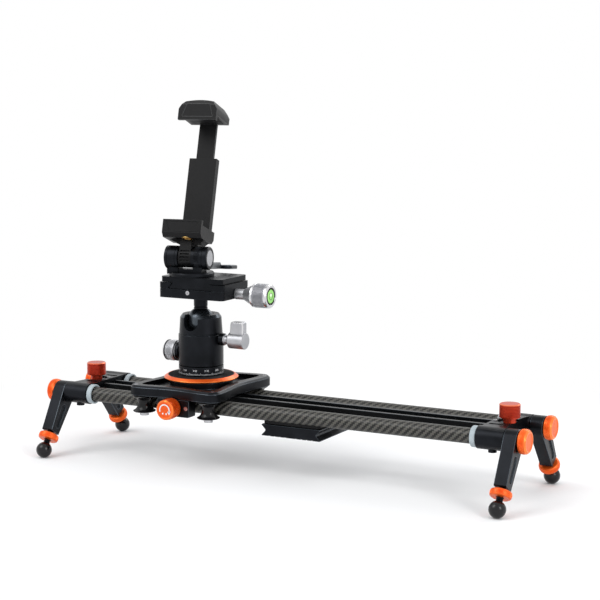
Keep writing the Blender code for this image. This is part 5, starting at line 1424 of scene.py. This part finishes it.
# %% [markdown]
# ## Ball head
# The head turns on a short round base that is screwed to the turntable. The base carries a scale of
# degrees: a ring of marks from the scale tree, and small plain numbers bent round the same cylinder.

# %% Numbers round a drum
def number_on_drum(value, radius, level, angle, size):
    """A flat number whose plane is bent round a cylinder about Z."""
    curve = bpy.data.curves.new("number", "FONT")
    curve.body = str(value)
    curve.size = size
    curve.align_x, curve.align_y = "CENTER", "CENTER"
    curve.extrude = 0.04 * MM
    curve.resolution_u = 2
    holder = bpy.data.objects.new("number", curve)
    bpy.context.scene.collection.objects.link(holder)
    graph = bpy.context.evaluated_depsgraph_get()
    data = bpy.data.meshes.new_from_object(holder.evaluated_get(graph))
    bpy.data.objects.remove(holder)
    for vertex in data.vertices:
        turn = angle + vertex.co.x / radius
        reach = radius + vertex.co.z
        vertex.co = (reach * math.cos(turn), reach * math.sin(turn), level + vertex.co.y)
    item = bpy.data.objects.new("number", data)
    bpy.context.scene.collection.objects.link(item)
    data.materials.clear()
    data.materials.append(white_mark)
    return item


# %% Pan base and its scale
low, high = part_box("pan_base")
radius = half_size("pan_base").x
base_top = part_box("head_body")[0].z - low.z - 0.3 * MM
spigot = 10.0 * MM
profile = [(0, 1.5 * MM), (spigot, 1.5 * MM), (spigot, 0), (radius, 0), (radius, base_top),
           (spigot, base_top),
           (spigot, high.z - low.z), (0, high.z - low.z)]
base = dressed("base", turned(profile, 0.4, 128), black_metal)
values = {"Radius": radius - 0.04 * MM, "Start": 0.5 * MM, "Around": 120, "Rows": 1, "Short": 1.1 * MM,
          "Long": 1.7 * MM,
          "Every": 10, "Width": 0.2 * MM, "Thickness": 0.08 * MM, "Finish": white_mark}
pieces = [base, grow("marks", scale, values)]
for index in range(12):
    angle = 2 * math.pi * (index + 1.5) / 12
    pieces.append(number_on_drum(30 * index, radius - 0.04 * MM, 3.9 * MM, angle, 2.2 * MM))
hand_over(merge("scaled_pan_base", pieces), "carriage", "pan_base", at((slide_x, 0, low.z)))

# %% [markdown]
# The body of the head is a turned cup round the ball. Its wall steps in at the waist, leans in to the top and
# ends in a broad bevel. A slot on the near side lets the stem drop to one side. The edges that the cutter
# leaves, and the broad top bevel, get the brighter rim coat: partly edge wear, partly a painted highlight.

# %% Head body
low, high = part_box("head_body")
radius = half_size("head_body").x
height = high.z - low.z
ball_radius = half_size("head_ball").x
ball_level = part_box("head_ball")[0].z + ball_radius - low.z
cavity = ball_radius + 0.3 * MM
mouth = math.asin((height - 0.6 * MM - ball_level) / cavity)
socket = [(x, z + ball_level) for x, z in arc((0, 0), cavity, mouth, -math.pi / 2, 28)]
waist = 23.5 * MM
top_radius = 15.6 * MM
profile = [
    (0, 6.3 * MM), (10.3 * MM, 6.3 * MM), (10.3 * MM, 0), (radius - 0.5 * MM, 0), (radius, 0.5 * MM),
    (radius, waist - 0.2 * MM), (radius - 0.35 * MM, waist), (radius - 1.1 * MM, waist + 0.1 * MM),
    (radius - 1.1 * MM, waist + 0.7 * MM), (radius - 0.65 * MM, waist + 0.9 * MM),
    (radius - 0.65 * MM, waist + 1.6 * MM),
    (top_radius, height - 2.4 * MM), (top_radius - 1.7 * MM, height - 0.05 * MM),
    (socket[0][0] + 0.6 * MM, height - 0.05 * MM),
]
cup = lathe(profile + socket[:-1] + [(0, ball_level - cavity)], 144)
half = half_size("head_stem").x + 0.75 * MM
slot_end = 27.0 * MM + half
slot_view = arc((0, slot_end), half, math.pi, 2 * math.pi, 32) + [(half, height + MM), (-half, height + MM)]
steps = [(CUT, prism(slot_view, -2 * radius, -half + 0.75 * MM, "XZ"))]
for axis, level in (("X", low.z + 20.2 * MM), ("-X", middle("pan_knob").z)):
    hole = along(drum(2.8 * MM, radius - 6.5 * MM, radius + MM, 32), axis)
    steps.append((CUT, shifted(hole, z=level - low.z)))
cup = part("turned_head_cup", cup, black_metal, black_wear_and_highlight, steps, bevel=0.45, segments=3)
# The broad top bevel takes the paler coat: partly edge wear, partly a painted highlight.
for face in cup.data.polygons:
    across = off_axis(face)
    if face.center.z > height - 2.4 * MM and across > top_radius - 1.9 * MM:
        face.material_index = 1
hand_over(cup, "head", "head_body", at((slide_x, 0, low.z)), sharp=30)

# %% [markdown]
# The ball is hard anodised and polished where it slides, and takes the whole of the paler black coat, which
# also paints a highlight on it. The stem is a plain turned post with one relief groove, and its screws go
# into the ball and the clamp.

# %% Ball and stem
low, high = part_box("head_ball")
level = low.z + ball_radius
stem_low, stem_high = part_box("head_stem")
stem_radius = half_size("head_stem").x
flat = high.z - level
edge = math.asin(min(1.0, flat / ball_radius))
sphere = arc((0, 0), ball_radius, edge, -math.pi / 2, 48)
# The ball takes the paler black coat all over: partly polish, partly a painted highlight.
ball = dressed("polished_ball_with_painted_highlight", lathe([(0, -1.0 * MM), (3.3 * MM, -1.0 * MM),
    (3.3 * MM, flat)] + sphere[:-1] + [(0, -ball_radius)], 96), black_wear_and_highlight)
hand_over(ball, "ball", "head_ball", at((slide_x, 0, level)), sharp=35)

height = stem_high.z - stem_low.z
screw = (height - 9.2 * MM) / 2
profile = [
    (0, 0), (3.0 * MM, 0), (3.0 * MM, screw), (stem_radius, screw), (stem_radius, screw + 1.0 * MM),
    (stem_radius - 0.3 * MM, screw + 1.3 * MM), (stem_radius - 0.3 * MM, screw + 1.8 * MM),
    (stem_radius, screw + 2.1 * MM),
    (stem_radius, height - screw), (3.0 * MM, height - screw), (3.0 * MM, height), (0, height),
]
post = dressed("turned_stem", turned(profile, 0.2, 72), black_metal)
hand_over(post, "stem", "head_stem", at((slide_x, 0, stem_low.z)))

# %% [markdown]
# Two knobs work the head. The silver drum on the left clamps the pan, and has straight teeth between two
# black bands. The wing on the right locks the ball, so it stands out where a thumb finds it.

# %% Pan clamp knob
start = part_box("pan_knob")[1].x - 6.0 * MM
axis_z = middle("pan_knob").z
radius = half_size("pan_knob").z
collar, length = 2.2 * MM, 13.2 * MM
profile = [
    (0, -6.0 * MM), (2.5 * MM, -6.0 * MM), (2.5 * MM, 0), (6.6 * MM, 0), (6.6 * MM, collar),
    (radius - 0.8 * MM, collar),
    (radius - 0.4 * MM, collar + 0.5 * MM), (radius - 0.4 * MM, length - 1.2 * MM),
    (radius - 1.4 * MM, length), (0, length - 0.25 * MM),
]
core = dressed("core", turned(profile, 0.25, 96), silver_metal, silver_polish_and_highlight, black_metal)
# The top faces take the lighter silver coat, partly polish and partly a painted highlight. The faces below
# the collar are black.
for face in core.data.polygons:
    if face.center.z < collar - 0.1 * MM:
        face.material_index = 2
    elif face.center.z > length - 1.3 * MM:
        face.material_index = 1
pieces = [core, knurled_band("teeth", radius, collar + 1.7 * MM, length - 2.6 * MM, 64, 0.4 * MM,
    silver_metal, "straight")]
for middle_z in (collar + 0.95 * MM, length - 1.9 * MM):
    ring = [(radius - 0.9 * MM, middle_z - 0.45 * MM), (radius - 0.1 * MM, middle_z - 0.45 * MM),
            (radius - 0.1 * MM, middle_z + 0.45 * MM), (radius - 0.9 * MM, middle_z + 0.45 * MM)]
    band = dressed("band", turned(ring, 0.12, 96), black_metal)
    pieces.append(band)
hand_over(merge("knurled_pan_knob", pieces), "pan_knob", "pan_knob",
          at((start, 0, axis_z)) @ AXES["-X"], sharp=30)

# %% Ball lock wing
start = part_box("lock_knob")[0].x + 6.0 * MM
axis_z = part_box("head_body")[0].z + 20.2 * MM
collar, length, tab_start = 3.4 * MM, 21.6 * MM, 8.6 * MM
profile = [(0, -6.0 * MM), (2.5 * MM, -6.0 * MM), (2.5 * MM, 0), (4.6 * MM, 0), (4.6 * MM, collar),
           (0, collar)]
foot = dressed("collar", turned(profile, 0.25, 64), black_metal)
tab_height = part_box("lock_knob")[1].z - axis_z
profile = [
    (0, collar - 0.1 * MM), (3.9 * MM, collar - 0.1 * MM), (3.9 * MM, collar + 1.2 * MM),
    (3.4 * MM, collar + 1.6 * MM),
    (3.4 * MM, tab_start - 1.6 * MM), (3.9 * MM, tab_start - 1.2 * MM), (3.9 * MM, tab_start),
    (6.2 * MM, tab_start), (6.2 * MM, length), (0, length),
]
wing_view = rounded([(tab_start + 0.6 * MM, 0), (length - 0.6 * MM, 0), (length - 0.6 * MM, tab_height),
                     (tab_start + 1.8 * MM, tab_height)], 1.8 * MM, 6, closed=True)
hub = dressed("hub", turned(profile, 0.5, 80), silver_metal)
# The wing's bevels take the lighter silver coat: partly polish, partly a painted highlight.
wing = part("wing", prism(wing_view, -3.2 * MM, 3.2 * MM, "XZ"), silver_metal, silver_polish_and_highlight, bevel=0.8,
            segments=3)
for item in (foot, hub):
    item.data.transform(AXES["X"])
hand_over(merge("winged_lock_knob", [foot, hub, wing]), "lock_knob", "lock_knob",
          at((start, 0, axis_z)), sharp=35)

# %% [markdown]
# ## Quick release clamp
# The clamp is cut from one bar and then parted: the body keeps one dovetail lip and the jaw keeps the
# other. A thin groove runs round both, so the front shows two bands with a bright line between them.

# %% Clamp body and jaw
low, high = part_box("clamp_body")
jaw_low, jaw_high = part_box("clamp_jaw")
clamp_x = (low.x + jaw_high.x) / 2
half = (jaw_high.x - low.x) / 2
depth = (high.y - low.y) / 2
jaw_start = jaw_low.x - clamp_x
floor, lip = 6.7 * MM, high.z - low.z
wide, step = 19.3 * MM, 2.5 * MM
foot = floor + 1.3 * MM
narrow = wide - step
neck = foot + step
line = 0.35 * MM
fixed = [
    (-half, 0), (jaw_start - 0.3 * MM, 0), (jaw_start - 0.3 * MM, floor), (-wide, floor), (-wide, foot),
    (-narrow, neck),
    (-narrow, lip), (-half, lip),
]
moving = [
    (jaw_start, 0), (half, 0), (half, lip), (narrow, lip), (narrow, neck), (wide, foot), (wide, floor),
    (jaw_start, floor),
]
plan = rounded([(-half, -depth), (half, -depth), (half, depth), (-half, depth)], 4.0 * MM, 8, closed=True)
seam = rounded([(-half + line, -depth + line), (half - line, -depth + line), (half - line, depth - line),
                (-half + line, depth - line)], 3.8 * MM, 8, closed=True)
outer = rounded([(-half - MM, -depth - MM), (half + MM, -depth - MM), (half + MM, depth + MM),
                 (-half - MM, depth + MM)],
                4.0 * MM, 8, closed=True)


def seam_ring():
    """A thin frame round the clamp that leaves a shallow line between its two bands."""
    mesh = bmesh.new()
    levels = [(outer, 6.5 * MM), (outer, 7.0 * MM), (seam, 7.0 * MM), (seam, 6.5 * MM)]
    rings = [[mesh.verts.new((x, y, z)) for x, y in chain] for chain, z in levels]
    for index in range(4):
        first, second = rings[index], rings[(index + 1) % 4]
        for place in range(len(first)):
            after = (place + 1) % len(first)
            mesh.faces.new((first[place], first[after], second[after], second[place]))
    bmesh.ops.recalc_face_normals(mesh, faces=mesh.faces)
    return mesh


knob_level = middle("bubble_level").z - low.z
stem_x = slide_x - clamp_x
for name, outline, body in (("clamp_body", fixed, "stem"), ("clamp_jaw", moving, "clamp_jaw")):
    steps = [(TRIM, prism(plan, -MM, lip + MM)), (CUT, seam_ring())]
    bore = along(drum(2.3 * MM, half - 17.3 * MM, half + MM, 32), "X")
    steps.append((CUT, shifted(bore, z=knob_level)))
    if name == "clamp_body":
        steps.append((CUT, shifted(drum(3.3 * MM, -MM, 5.1 * MM, 32), x=stem_x)))
        stop = along(drum(1.8 * MM, depth - 1.1 * MM, depth + MM, 32), "-Y")
        steps.append((CUT, shifted(stop, x=-2.4 * MM, z=4.4 * MM)))
    piece = part(f"milled_{name}", prism(outline, -depth, depth, "XZ"), black_metal, black_wear_and_highlight, steps,
                 bevel=0.3)
    hand_over(piece, body, name, at((clamp_x, 0, low.z)), sharp=30)

values = {"Head Radius": 1.6 * MM, "Head Height": 1.0 * MM, "Turn": (math.pi / 2, 0, 0), "Finish": steel}
spot = (clamp_x - 2.4 * MM, -depth + 0.65 * MM, low.z + 4.4 * MM)
hand_over(grow("stop_screw", screws, values, [spot]), "stem")

# %% [markdown]
# The plate that carries the holder has a dovetail below and a wider flange above.

# %% Release plate
low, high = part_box("release_plate")
half, depth = (high.x - low.x) / 2, (high.y - low.y) / 2
under, top = 4.9 * MM, high.z - low.z
wide, foot = 19.0 * MM, 1.0 * MM
narrow, neck = wide - 2.5 * MM, foot + 2.5 * MM
right = [(wide, 0), (wide, foot), (narrow, neck), (narrow, under), (half, under), (half, top)]
outline = right + [(-x, z) for x, z in reversed(right)]
plan = rounded([(-half, -depth), (half, -depth), (half, depth), (-half, depth)], 3.2 * MM, 8, closed=True)
hinge_foot = Vector((-80.5 * MM, -6.0 * MM))
bore = shifted(drum(3.3 * MM, top - 6.0 * MM, top + MM, 32), x=hinge_foot.x - clamp_x, y=hinge_foot.y)
steps = [(TRIM, prism(plan, -MM, top + MM)), (CUT, bore)]
plate = part("dovetail_plate", prism(outline, -depth, depth, "XZ"), black_metal, black_wear_and_highlight, steps, bevel=0.3)
hand_over(plate, "stem", "release_plate", at((clamp_x, 0, low.z)), sharp=30)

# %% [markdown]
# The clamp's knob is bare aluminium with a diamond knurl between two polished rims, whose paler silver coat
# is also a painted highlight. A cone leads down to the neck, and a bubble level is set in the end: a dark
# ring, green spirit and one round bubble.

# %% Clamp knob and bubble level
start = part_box("clamp_jaw")[1].x + 0.3 * MM
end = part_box("clamp_knob")[1].x - start
radius = half_size("clamp_knob").z
axis_z = middle("clamp_knob").z
cone_end = end - 14.5 * MM
cup = half_size("bubble_level").z + 0.3 * MM
cup_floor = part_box("bubble_level")[0].x - start - 0.3 * MM
profile = [
    (0, -16.7 * MM), (2.0 * MM, -16.7 * MM), (2.0 * MM, 0), (4.0 * MM, 0), (4.0 * MM, 7.6 * MM),
    (4.5 * MM, 8.0 * MM),
    (radius - 1.0 * MM, cone_end), (radius, cone_end + 0.9 * MM), (radius, cone_end + 2.0 * MM),
    (radius - 0.4 * MM, cone_end + 2.3 * MM), (radius - 0.4 * MM, end - 2.4 * MM), (radius, end - 2.1 * MM),
    (radius, end - 0.8 * MM), (radius - 0.9 * MM, end), (cup, end), (cup, cup_floor), (0, cup_floor),
]
core = dressed("core", turned(profile, 0.25, 120), silver_metal, silver_polish_and_highlight)
# The two rims take the lighter silver coat: partly polish, partly a painted highlight.
for face in core.data.polygons:
    if face.center.z > end - 2.2 * MM or cone_end < face.center.z < cone_end + 2.2 * MM:
        face.material_index = 1
teeth = knurled_band("teeth", radius, cone_end + 2.4 * MM, end - 2.5 * MM, 64, 0.4 * MM, silver_metal)
place = at((start, 0, axis_z)) @ AXES["X"]
hand_over(merge("diamond_clamp_knob", [core, teeth]), "clamp_knob", "clamp_knob", place,
          sharp=30)

vial_radius = half_size("bubble_level").z
depth = end - cup_floor - 0.3 * MM
ring = [(vial_radius - 1.1 * MM, 0), (vial_radius, 0), (vial_radius, depth), (vial_radius - 1.1 * MM, depth)]
dark = dressed("ring", turned(ring, 0.15, 72), black_plastic)
spirit = dressed("spirit", turned([(0, 0), (vial_radius - 1.0 * MM, 0),
    (vial_radius - 1.0 * MM, depth - 0.2 * MM),
                                      (0, depth - 0.1 * MM)], 0.2, 72), vial_green)
air = dressed("air", turned([(0, depth - 0.5 * MM), (1.7 * MM, depth - 0.4 * MM),
    (1.5 * MM, depth - 0.08 * MM),
                                (0, depth - 0.02 * MM)], 0.1, 48), vial_air)
for vertex in air.data.vertices:
    vertex.co.x -= 1.2 * MM
circle = [(2.3 * MM, depth - 0.3 * MM), (2.6 * MM, depth - 0.3 * MM), (2.6 * MM, depth - 0.05 * MM),
          (2.3 * MM, depth - 0.05 * MM)]
target = dressed("target", turned(circle, 0.03, 64), black_plastic)
place = at((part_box("bubble_level")[0].x, 0, axis_z)) @ AXES["X"]
hand_over(merge("bubble_vial", [dark, spirit, air, target]), "clamp_knob", "bubble_level",
          place, sharp=35)

# %% [markdown]
# ## Phone holder
# The holder leans on a tilting hinge. Four frames place its pieces: the barrel follows the hinge's axis, the
# foot stands upright below it, the lever is tipped a little more, and the jaws follow the direction in
# which the upper jaw slides.

# %% Frames of the holder
hinge_axis = Vector(joints["holder_tilt"]["axis"]).normalized()
up_axis = Vector(joints["upper_jaw_slide"]["axis"]).normalized()


def frame_of(place, across, up):
    depth_axis = up.cross(across).normalized()
    rows = Matrix((across, depth_axis, across.cross(depth_axis))).transposed().to_4x4()
    return Matrix.Translation(place) @ rows


barrel_place = joint_place("holder_tilt")
barrel = frame_of(barrel_place, hinge_axis, Vector((0, 0, 1)))
lean = frame_of(barrel_place, hinge_axis, up_axis)
lever_frame = barrel @ Matrix.Rotation(math.radians(-6), 4, "X")
barrel_rise, barrel_forward = 13.7 * MM, 4.0 * MM
foot_frame = barrel @ at((0, barrel_forward, -barrel_rise))
print("barrel at", [round(value * 1000, 2) for value in barrel_place])

# %% [markdown]
# The hinge is a round foot with two drums on webs. The left drum has two shallow grooves, and the right
# one has a ring of ridges like a coin's edge.

# %% Hinge foot and drums
left_drum = (-17.4 * MM, -7.0 * MM)
right_drum = (3.8 * MM, 12.2 * MM)
drum_radius = 8.7 * MM
foot_radius = 17.0 * MM
disc = [(0, 0), (foot_radius, 0), (foot_radius, 1.9 * MM), (foot_radius - 0.9 * MM, 3.0 * MM), (0, 3.0 * MM)]
steps = [(ADD, drum(3.0 * MM, -5.7 * MM, 1.5 * MM, 40))]
for first, last in (left_drum, right_drum):
    cylinder = along(drum(drum_radius if first < 0 else drum_radius - 0.35 * MM, first, last, 72), "X")
    steps.append((ADD, shifted(cylinder, y=-barrel_forward, z=barrel_rise)))
    web = block((max(first, -foot_radius) + 0.6 * MM, last - 0.6 * MM),
                (-barrel_forward - 5 * MM, -barrel_forward + 5 * MM),
                (1.5 * MM, barrel_rise - 0.7 * MM))
    steps.append((ADD, web))
saddle = block((-7.3 * MM, 4.1 * MM), (-barrel_forward - 4.4 * MM, -barrel_forward + 4.4 * MM),
               (1.5 * MM, barrel_rise - 8.3 * MM))
steps.append((ADD, saddle))
bore = along(drum(2.8 * MM, -40 * MM, 40 * MM, 40), "X")
steps.append((CUT, shifted(bore, y=-barrel_forward, z=barrel_rise)))
for x in (-15.2, -9.0):
    ring = lathe([(drum_radius - 0.3 * MM, x * MM - 0.2 * MM), (drum_radius + MM, x * MM - 0.2 * MM),
                  (drum_radius + MM, x * MM + 0.2 * MM), (drum_radius - 0.3 * MM, x * MM + 0.2 * MM)], 72)
    steps.append((CUT, shifted(along(ring, "X"), y=-barrel_forward, z=barrel_rise)))
hinge = part("hinge_foot_and_drums", turned(disc, 0.3, 96), black_metal, black_wear_and_highlight, steps, bevel=0.4)
teeth = knurled_band("teeth", drum_radius, right_drum[0] + 0.9 * MM, right_drum[1] - 0.9 * MM, 44, 0.5 * MM,
                     black_metal, "straight")
teeth.data.transform(at((0, -barrel_forward, barrel_rise)) @ AXES["X"])
hand_over(merge("hinge_foot", [hinge, teeth]), "stem", "hinge_base", foot_frame, sharp=30)

low_end, high_end = -19.1 * MM, 15.2 * MM
profile = [(0, low_end + 0.7 * MM), (2.2 * MM, low_end + 0.7 * MM), (2.2 * MM, low_end),
           (5.0 * MM, low_end), (5.0 * MM, -17.7 * MM),
           (2.5 * MM, -17.7 * MM), (2.5 * MM, high_end), (0, high_end)]
pin = dressed("hinge_pin_steel", turned(profile, 0.25, 56), steel)
hand_over(pin, "stem", "hinge_pin", barrel @ AXES["X"])

# %% [markdown]
# The lever is a cap over the end of the pin, a flat ribbed arm and a finger loop. The cap carries a plain
# silver disc. The arm's ribs come from the rib tree.

# %% Hinge lever
start, end = 12.5 * MM, 16.4 * MM
profile = [(0, end - 0.9 * MM), (2.8 * MM, end - 0.9 * MM), (2.8 * MM, start), (drum_radius, start),
           (drum_radius, end - 0.7 * MM),
           (drum_radius - 0.7 * MM, end), (6.2 * MM, end), (6.2 * MM, end - 0.3 * MM), (0, end - 0.3 * MM)]
cap = dressed("cap", turned(profile, 0.2, 96), black_metal)
badge = dressed("badge", turned([(0, end - 0.35 * MM), (6.0 * MM, end - 0.35 * MM),
    (6.0 * MM, end - 0.1 * MM),
                                    (0, end - 0.02 * MM)], 0.1, 72), silver_metal)
for item in (cap, badge):
    item.data.transform(AXES["X"])
arm_start, arm_low = end - 3.2 * MM, 0.6 * MM - drum_radius
arm_high = arm_low + 5.0 * MM
side_view = rounded([(0.5 * MM, arm_low), (26 * MM, arm_low), (26 * MM, arm_low + 3 * MM),
                     (24 * MM, arm_high), (0.5 * MM, arm_high)],
                    0.6 * MM, 3, closed=True)
arm = part("arm", prism(side_view, arm_start, end - 0.6 * MM, "YZ"), grey_arm, black_wear_and_highlight, bevel=0.35)
rib_values = {"Count": 12, "Step": 1.5 * MM, "Size": (0.5 * MM, 0.2 * MM, 3.2 * MM), "Finish": grey_arm}
rib_row = grow("ribs", ribs, rib_values)
rib_row.data.transform(at((end - 0.65 * MM, 6.0 * MM, arm_low + 2.5 * MM)) @ Matrix.Rotation(math.pi / 2, 4,
    "Z"))
loop_x = arm_start + 5 * MM


def loop_chain(near, length, radius):
    return (arc((loop_x, near + radius), radius, math.pi, 2 * math.pi, 20)
            + arc((loop_x, near + length - radius), radius, 0, math.pi, 20))


near = 24.8 * MM
hole = prism(loop_chain(near + 2.4 * MM, 15.2 * MM, 2.6 * MM), arm_low - MM, arm_low + 4 * MM)
loop = part("loop", prism(loop_chain(near, 20 * MM, 5 * MM), arm_low, arm_low + 3 * MM), black_metal,
            black_wear_and_highlight,
            [(CUT, hole)], bevel=0.7, segments=3)
hand_over(merge("hinge_lever_with_loop", [cap, badge, arm, rib_row, loop]), "hinge_lever", "hinge_lever",
          lever_frame, sharp=35)

# %% [markdown]
# The jaws are moulded plastic, so they have small round corners rather than milled ones. The lower jaw
# has a knuckle, a tapered belly, a lip and the spine with its groove. A sunk panel and one line finish
# its front.

# %% Lower jaw
front, back = -16.0 * MM, 12.0 * MM
low, top = 12.5 * MM, 22.0 * MM
left, right = -18.0 * MM, 13.0 * MM
chamfer = 3.2 * MM
jaw_view = [(front + chamfer, low), (back - chamfer, low), (back, low + chamfer), (back, top),
            (front + 3.0 * MM, top),
            (front + 3.0 * MM, top + 3.6 * MM), (front, top + 3.6 * MM), (front, low + chamfer)]
knuckle = along(drum(7.5 * MM, -6.7 * MM, 3.5 * MM, 72), "X")
taper = [(-8 * MM, 9.3 * MM), (8 * MM, 9.3 * MM), (right - 0.6 * MM, low + 0.6 * MM),
         (left + 0.6 * MM, low + 0.6 * MM)]
slider_floor = 22 * MM + 56 * MM - 27 * MM - 24.3 * MM
steps = [
    (ADD, block((-6.1 * MM, 2.9 * MM), (-6.9 * MM, 6.9 * MM), (0.6 * MM, 17 * MM))),
    (ADD, prism(taper, -4.2 * MM, 6.3 * MM, "XZ")),
    (ADD, knuckle),
    (ADD, block((-11 * MM, 11 * MM), (5.4 * MM, 11.4 * MM), (17 * MM, 78 * MM))),
    (CUT, block((-7.3 * MM, 7.3 * MM), (8.2 * MM, 13 * MM), (slider_floor, 79 * MM))),
    (CUT, along(drum(2.8 * MM, -14 * MM, 14 * MM, 40), "X")),
    (CUT, shifted(drum(4.6 * MM, 11.5 * MM, 18.8 * MM, 56), y=-9 * MM)),
]
for z in (-3.6, -1.2, 1.2, 3.6):
    steps.append((CUT, block((-5.4 * MM, 2.2 * MM), (-9 * MM, -5.6 * MM),
        (z * MM - 0.6 * MM, z * MM + 0.6 * MM))))
panel = [(left + 2.2 * MM, 24.3 * MM), (right - 2.2 * MM, 24.3 * MM), (right - 5.0 * MM, 17.5 * MM),
         (left + 5.0 * MM, 17.5 * MM)]
steps.append((CUT, prism(panel, front - MM, front + 0.5 * MM, "XZ")))
steps.append((CUT, block((left - MM, right + MM), (front - MM, front + 0.35 * MM), (16.2 * MM, 16.6 * MM))))
# The bevels take the paler plastic coat: partly edge wear, partly a painted highlight.
jaw = part("moulded_lower_jaw", prism(jaw_view, left, right, "YZ"), black_plastic, black_plastic_wear_and_highlight, steps,
           bevel=0.55, segments=3)
hand_over(jaw, "holder", "lower_jaw", lean, sharp=35)

# %% [markdown]
# A brass insert in the belly takes a tripod screw. Rubber pads with fine ribs line both jaws, so that
# what they hold does not slip.

# %% Insert and pads
ring = [(3.2 * MM, 12.5 * MM), (4.3 * MM, 12.5 * MM), (4.3 * MM, 18.5 * MM), (3.2 * MM, 18.5 * MM)]
thread = [(3.2 * MM + (0.25 * MM if step % 2 else 0), 18.2 * MM - step * 0.28 * MM) for step in range(1, 20)]
insert = dressed("brass_thread_insert", lathe(rounded(ring, 0.25 * MM, closed=True) + thread, 64), brass)
insert.data.transform(at((0, -9.0 * MM, 0)))
hand_over(insert, "holder", "thread_insert", lean)


def ribbed_pad(name, body, x_range, y_range, level, thickness, down=False):
    """A thin rubber sheet with a row of ribs, lying in the jaw's XY plane."""
    width, depth = x_range[1] - x_range[0], y_range[1] - y_range[0]
    sheet = part("sheet", block(x_range, y_range, (0, thickness)), rubber, bevel=0.2)
    count = 11
    pitch = width / (count + 1)
    row = grow("row", ribs, {"Count": count, "Step": pitch,
        "Size": (pitch * 0.5, depth - 1.6 * MM, 0.3 * MM), "Finish": rubber})
    row.data.transform(at((x_range[0] + pitch, (y_range[0] + y_range[1]) / 2, thickness)))
    item = merge(name, [sheet, row])
    if down:
        item.data.transform(Matrix.Rotation(math.pi, 4, "Y"))
    item.data.transform(at((0, 0, level)))
    return hand_over(item, body, place=lean)


ribbed_pad("lower_pad", "holder", (left + 3 * MM, right - 3 * MM), (front + 3.6 * MM, 4.6 * MM),
           top - 0.4 * MM, 0.8 * MM)

# %% [markdown]
# The upper jaw is a domed head that gets narrower towards the top, with a tongue that runs in the
# spine. Its grip matches the lower one.

# %% Upper jaw
low, high = 106 * MM, 119 * MM
half, shoulder, top_half, crown = 15.5 * MM, 111 * MM, 11.5 * MM, 1.6 * MM
chamfer = 4.5 * MM
jaw_view = [(front + chamfer, high), (back - chamfer, high), (back, high - chamfer), (back, low),
            (front + 3.0 * MM, low),
            (front + 3.0 * MM, low - 3.6 * MM), (front, low - 3.6 * MM), (front, high - chamfer)]
crown_radius = (top_half ** 2 + crown ** 2) / (2 * crown)
spread = math.asin(top_half / crown_radius)
dome = arc((0, high - crown_radius), crown_radius, math.pi / 2 - spread, math.pi / 2 + spread, 24)
wide = half + MM
face_view = [(-wide, low - 8 * MM), (wide, low - 8 * MM), (wide, low),
             (half, shoulder)] + dome + [(-half, shoulder), (-wide, low)]
panel = [(-9.0 * MM, 115.6 * MM), (9.0 * MM, 115.6 * MM), (12.2 * MM, 105.0 * MM), (-12.2 * MM, 105.0 * MM)]
steps = [
    (TRIM, prism(face_view, -40 * MM, 40 * MM, "XZ")),
    (CUT, prism(panel, front - MM, front + 0.6 * MM, "XZ")),
    (ADD, block((-7 * MM, 7 * MM), (8.5 * MM, 11.1 * MM), (51 * MM, 112 * MM))),
]
# The bevels take the paler plastic coat: partly edge wear, partly a painted highlight.
jaw = part("moulded_upper_jaw", prism(jaw_view, -half, half, "YZ"), black_plastic, black_plastic_wear_and_highlight, steps,
           bevel=0.7, segments=3)
hand_over(jaw, "upper_jaw", "upper_jaw", lean, sharp=35)
ribbed_pad("upper_pad", "upper_jaw", (-half + 3 * MM, half - 3 * MM), (front + 3.6 * MM, 8.0 * MM),
           low + 0.4 * MM, 0.8 * MM, down=True)
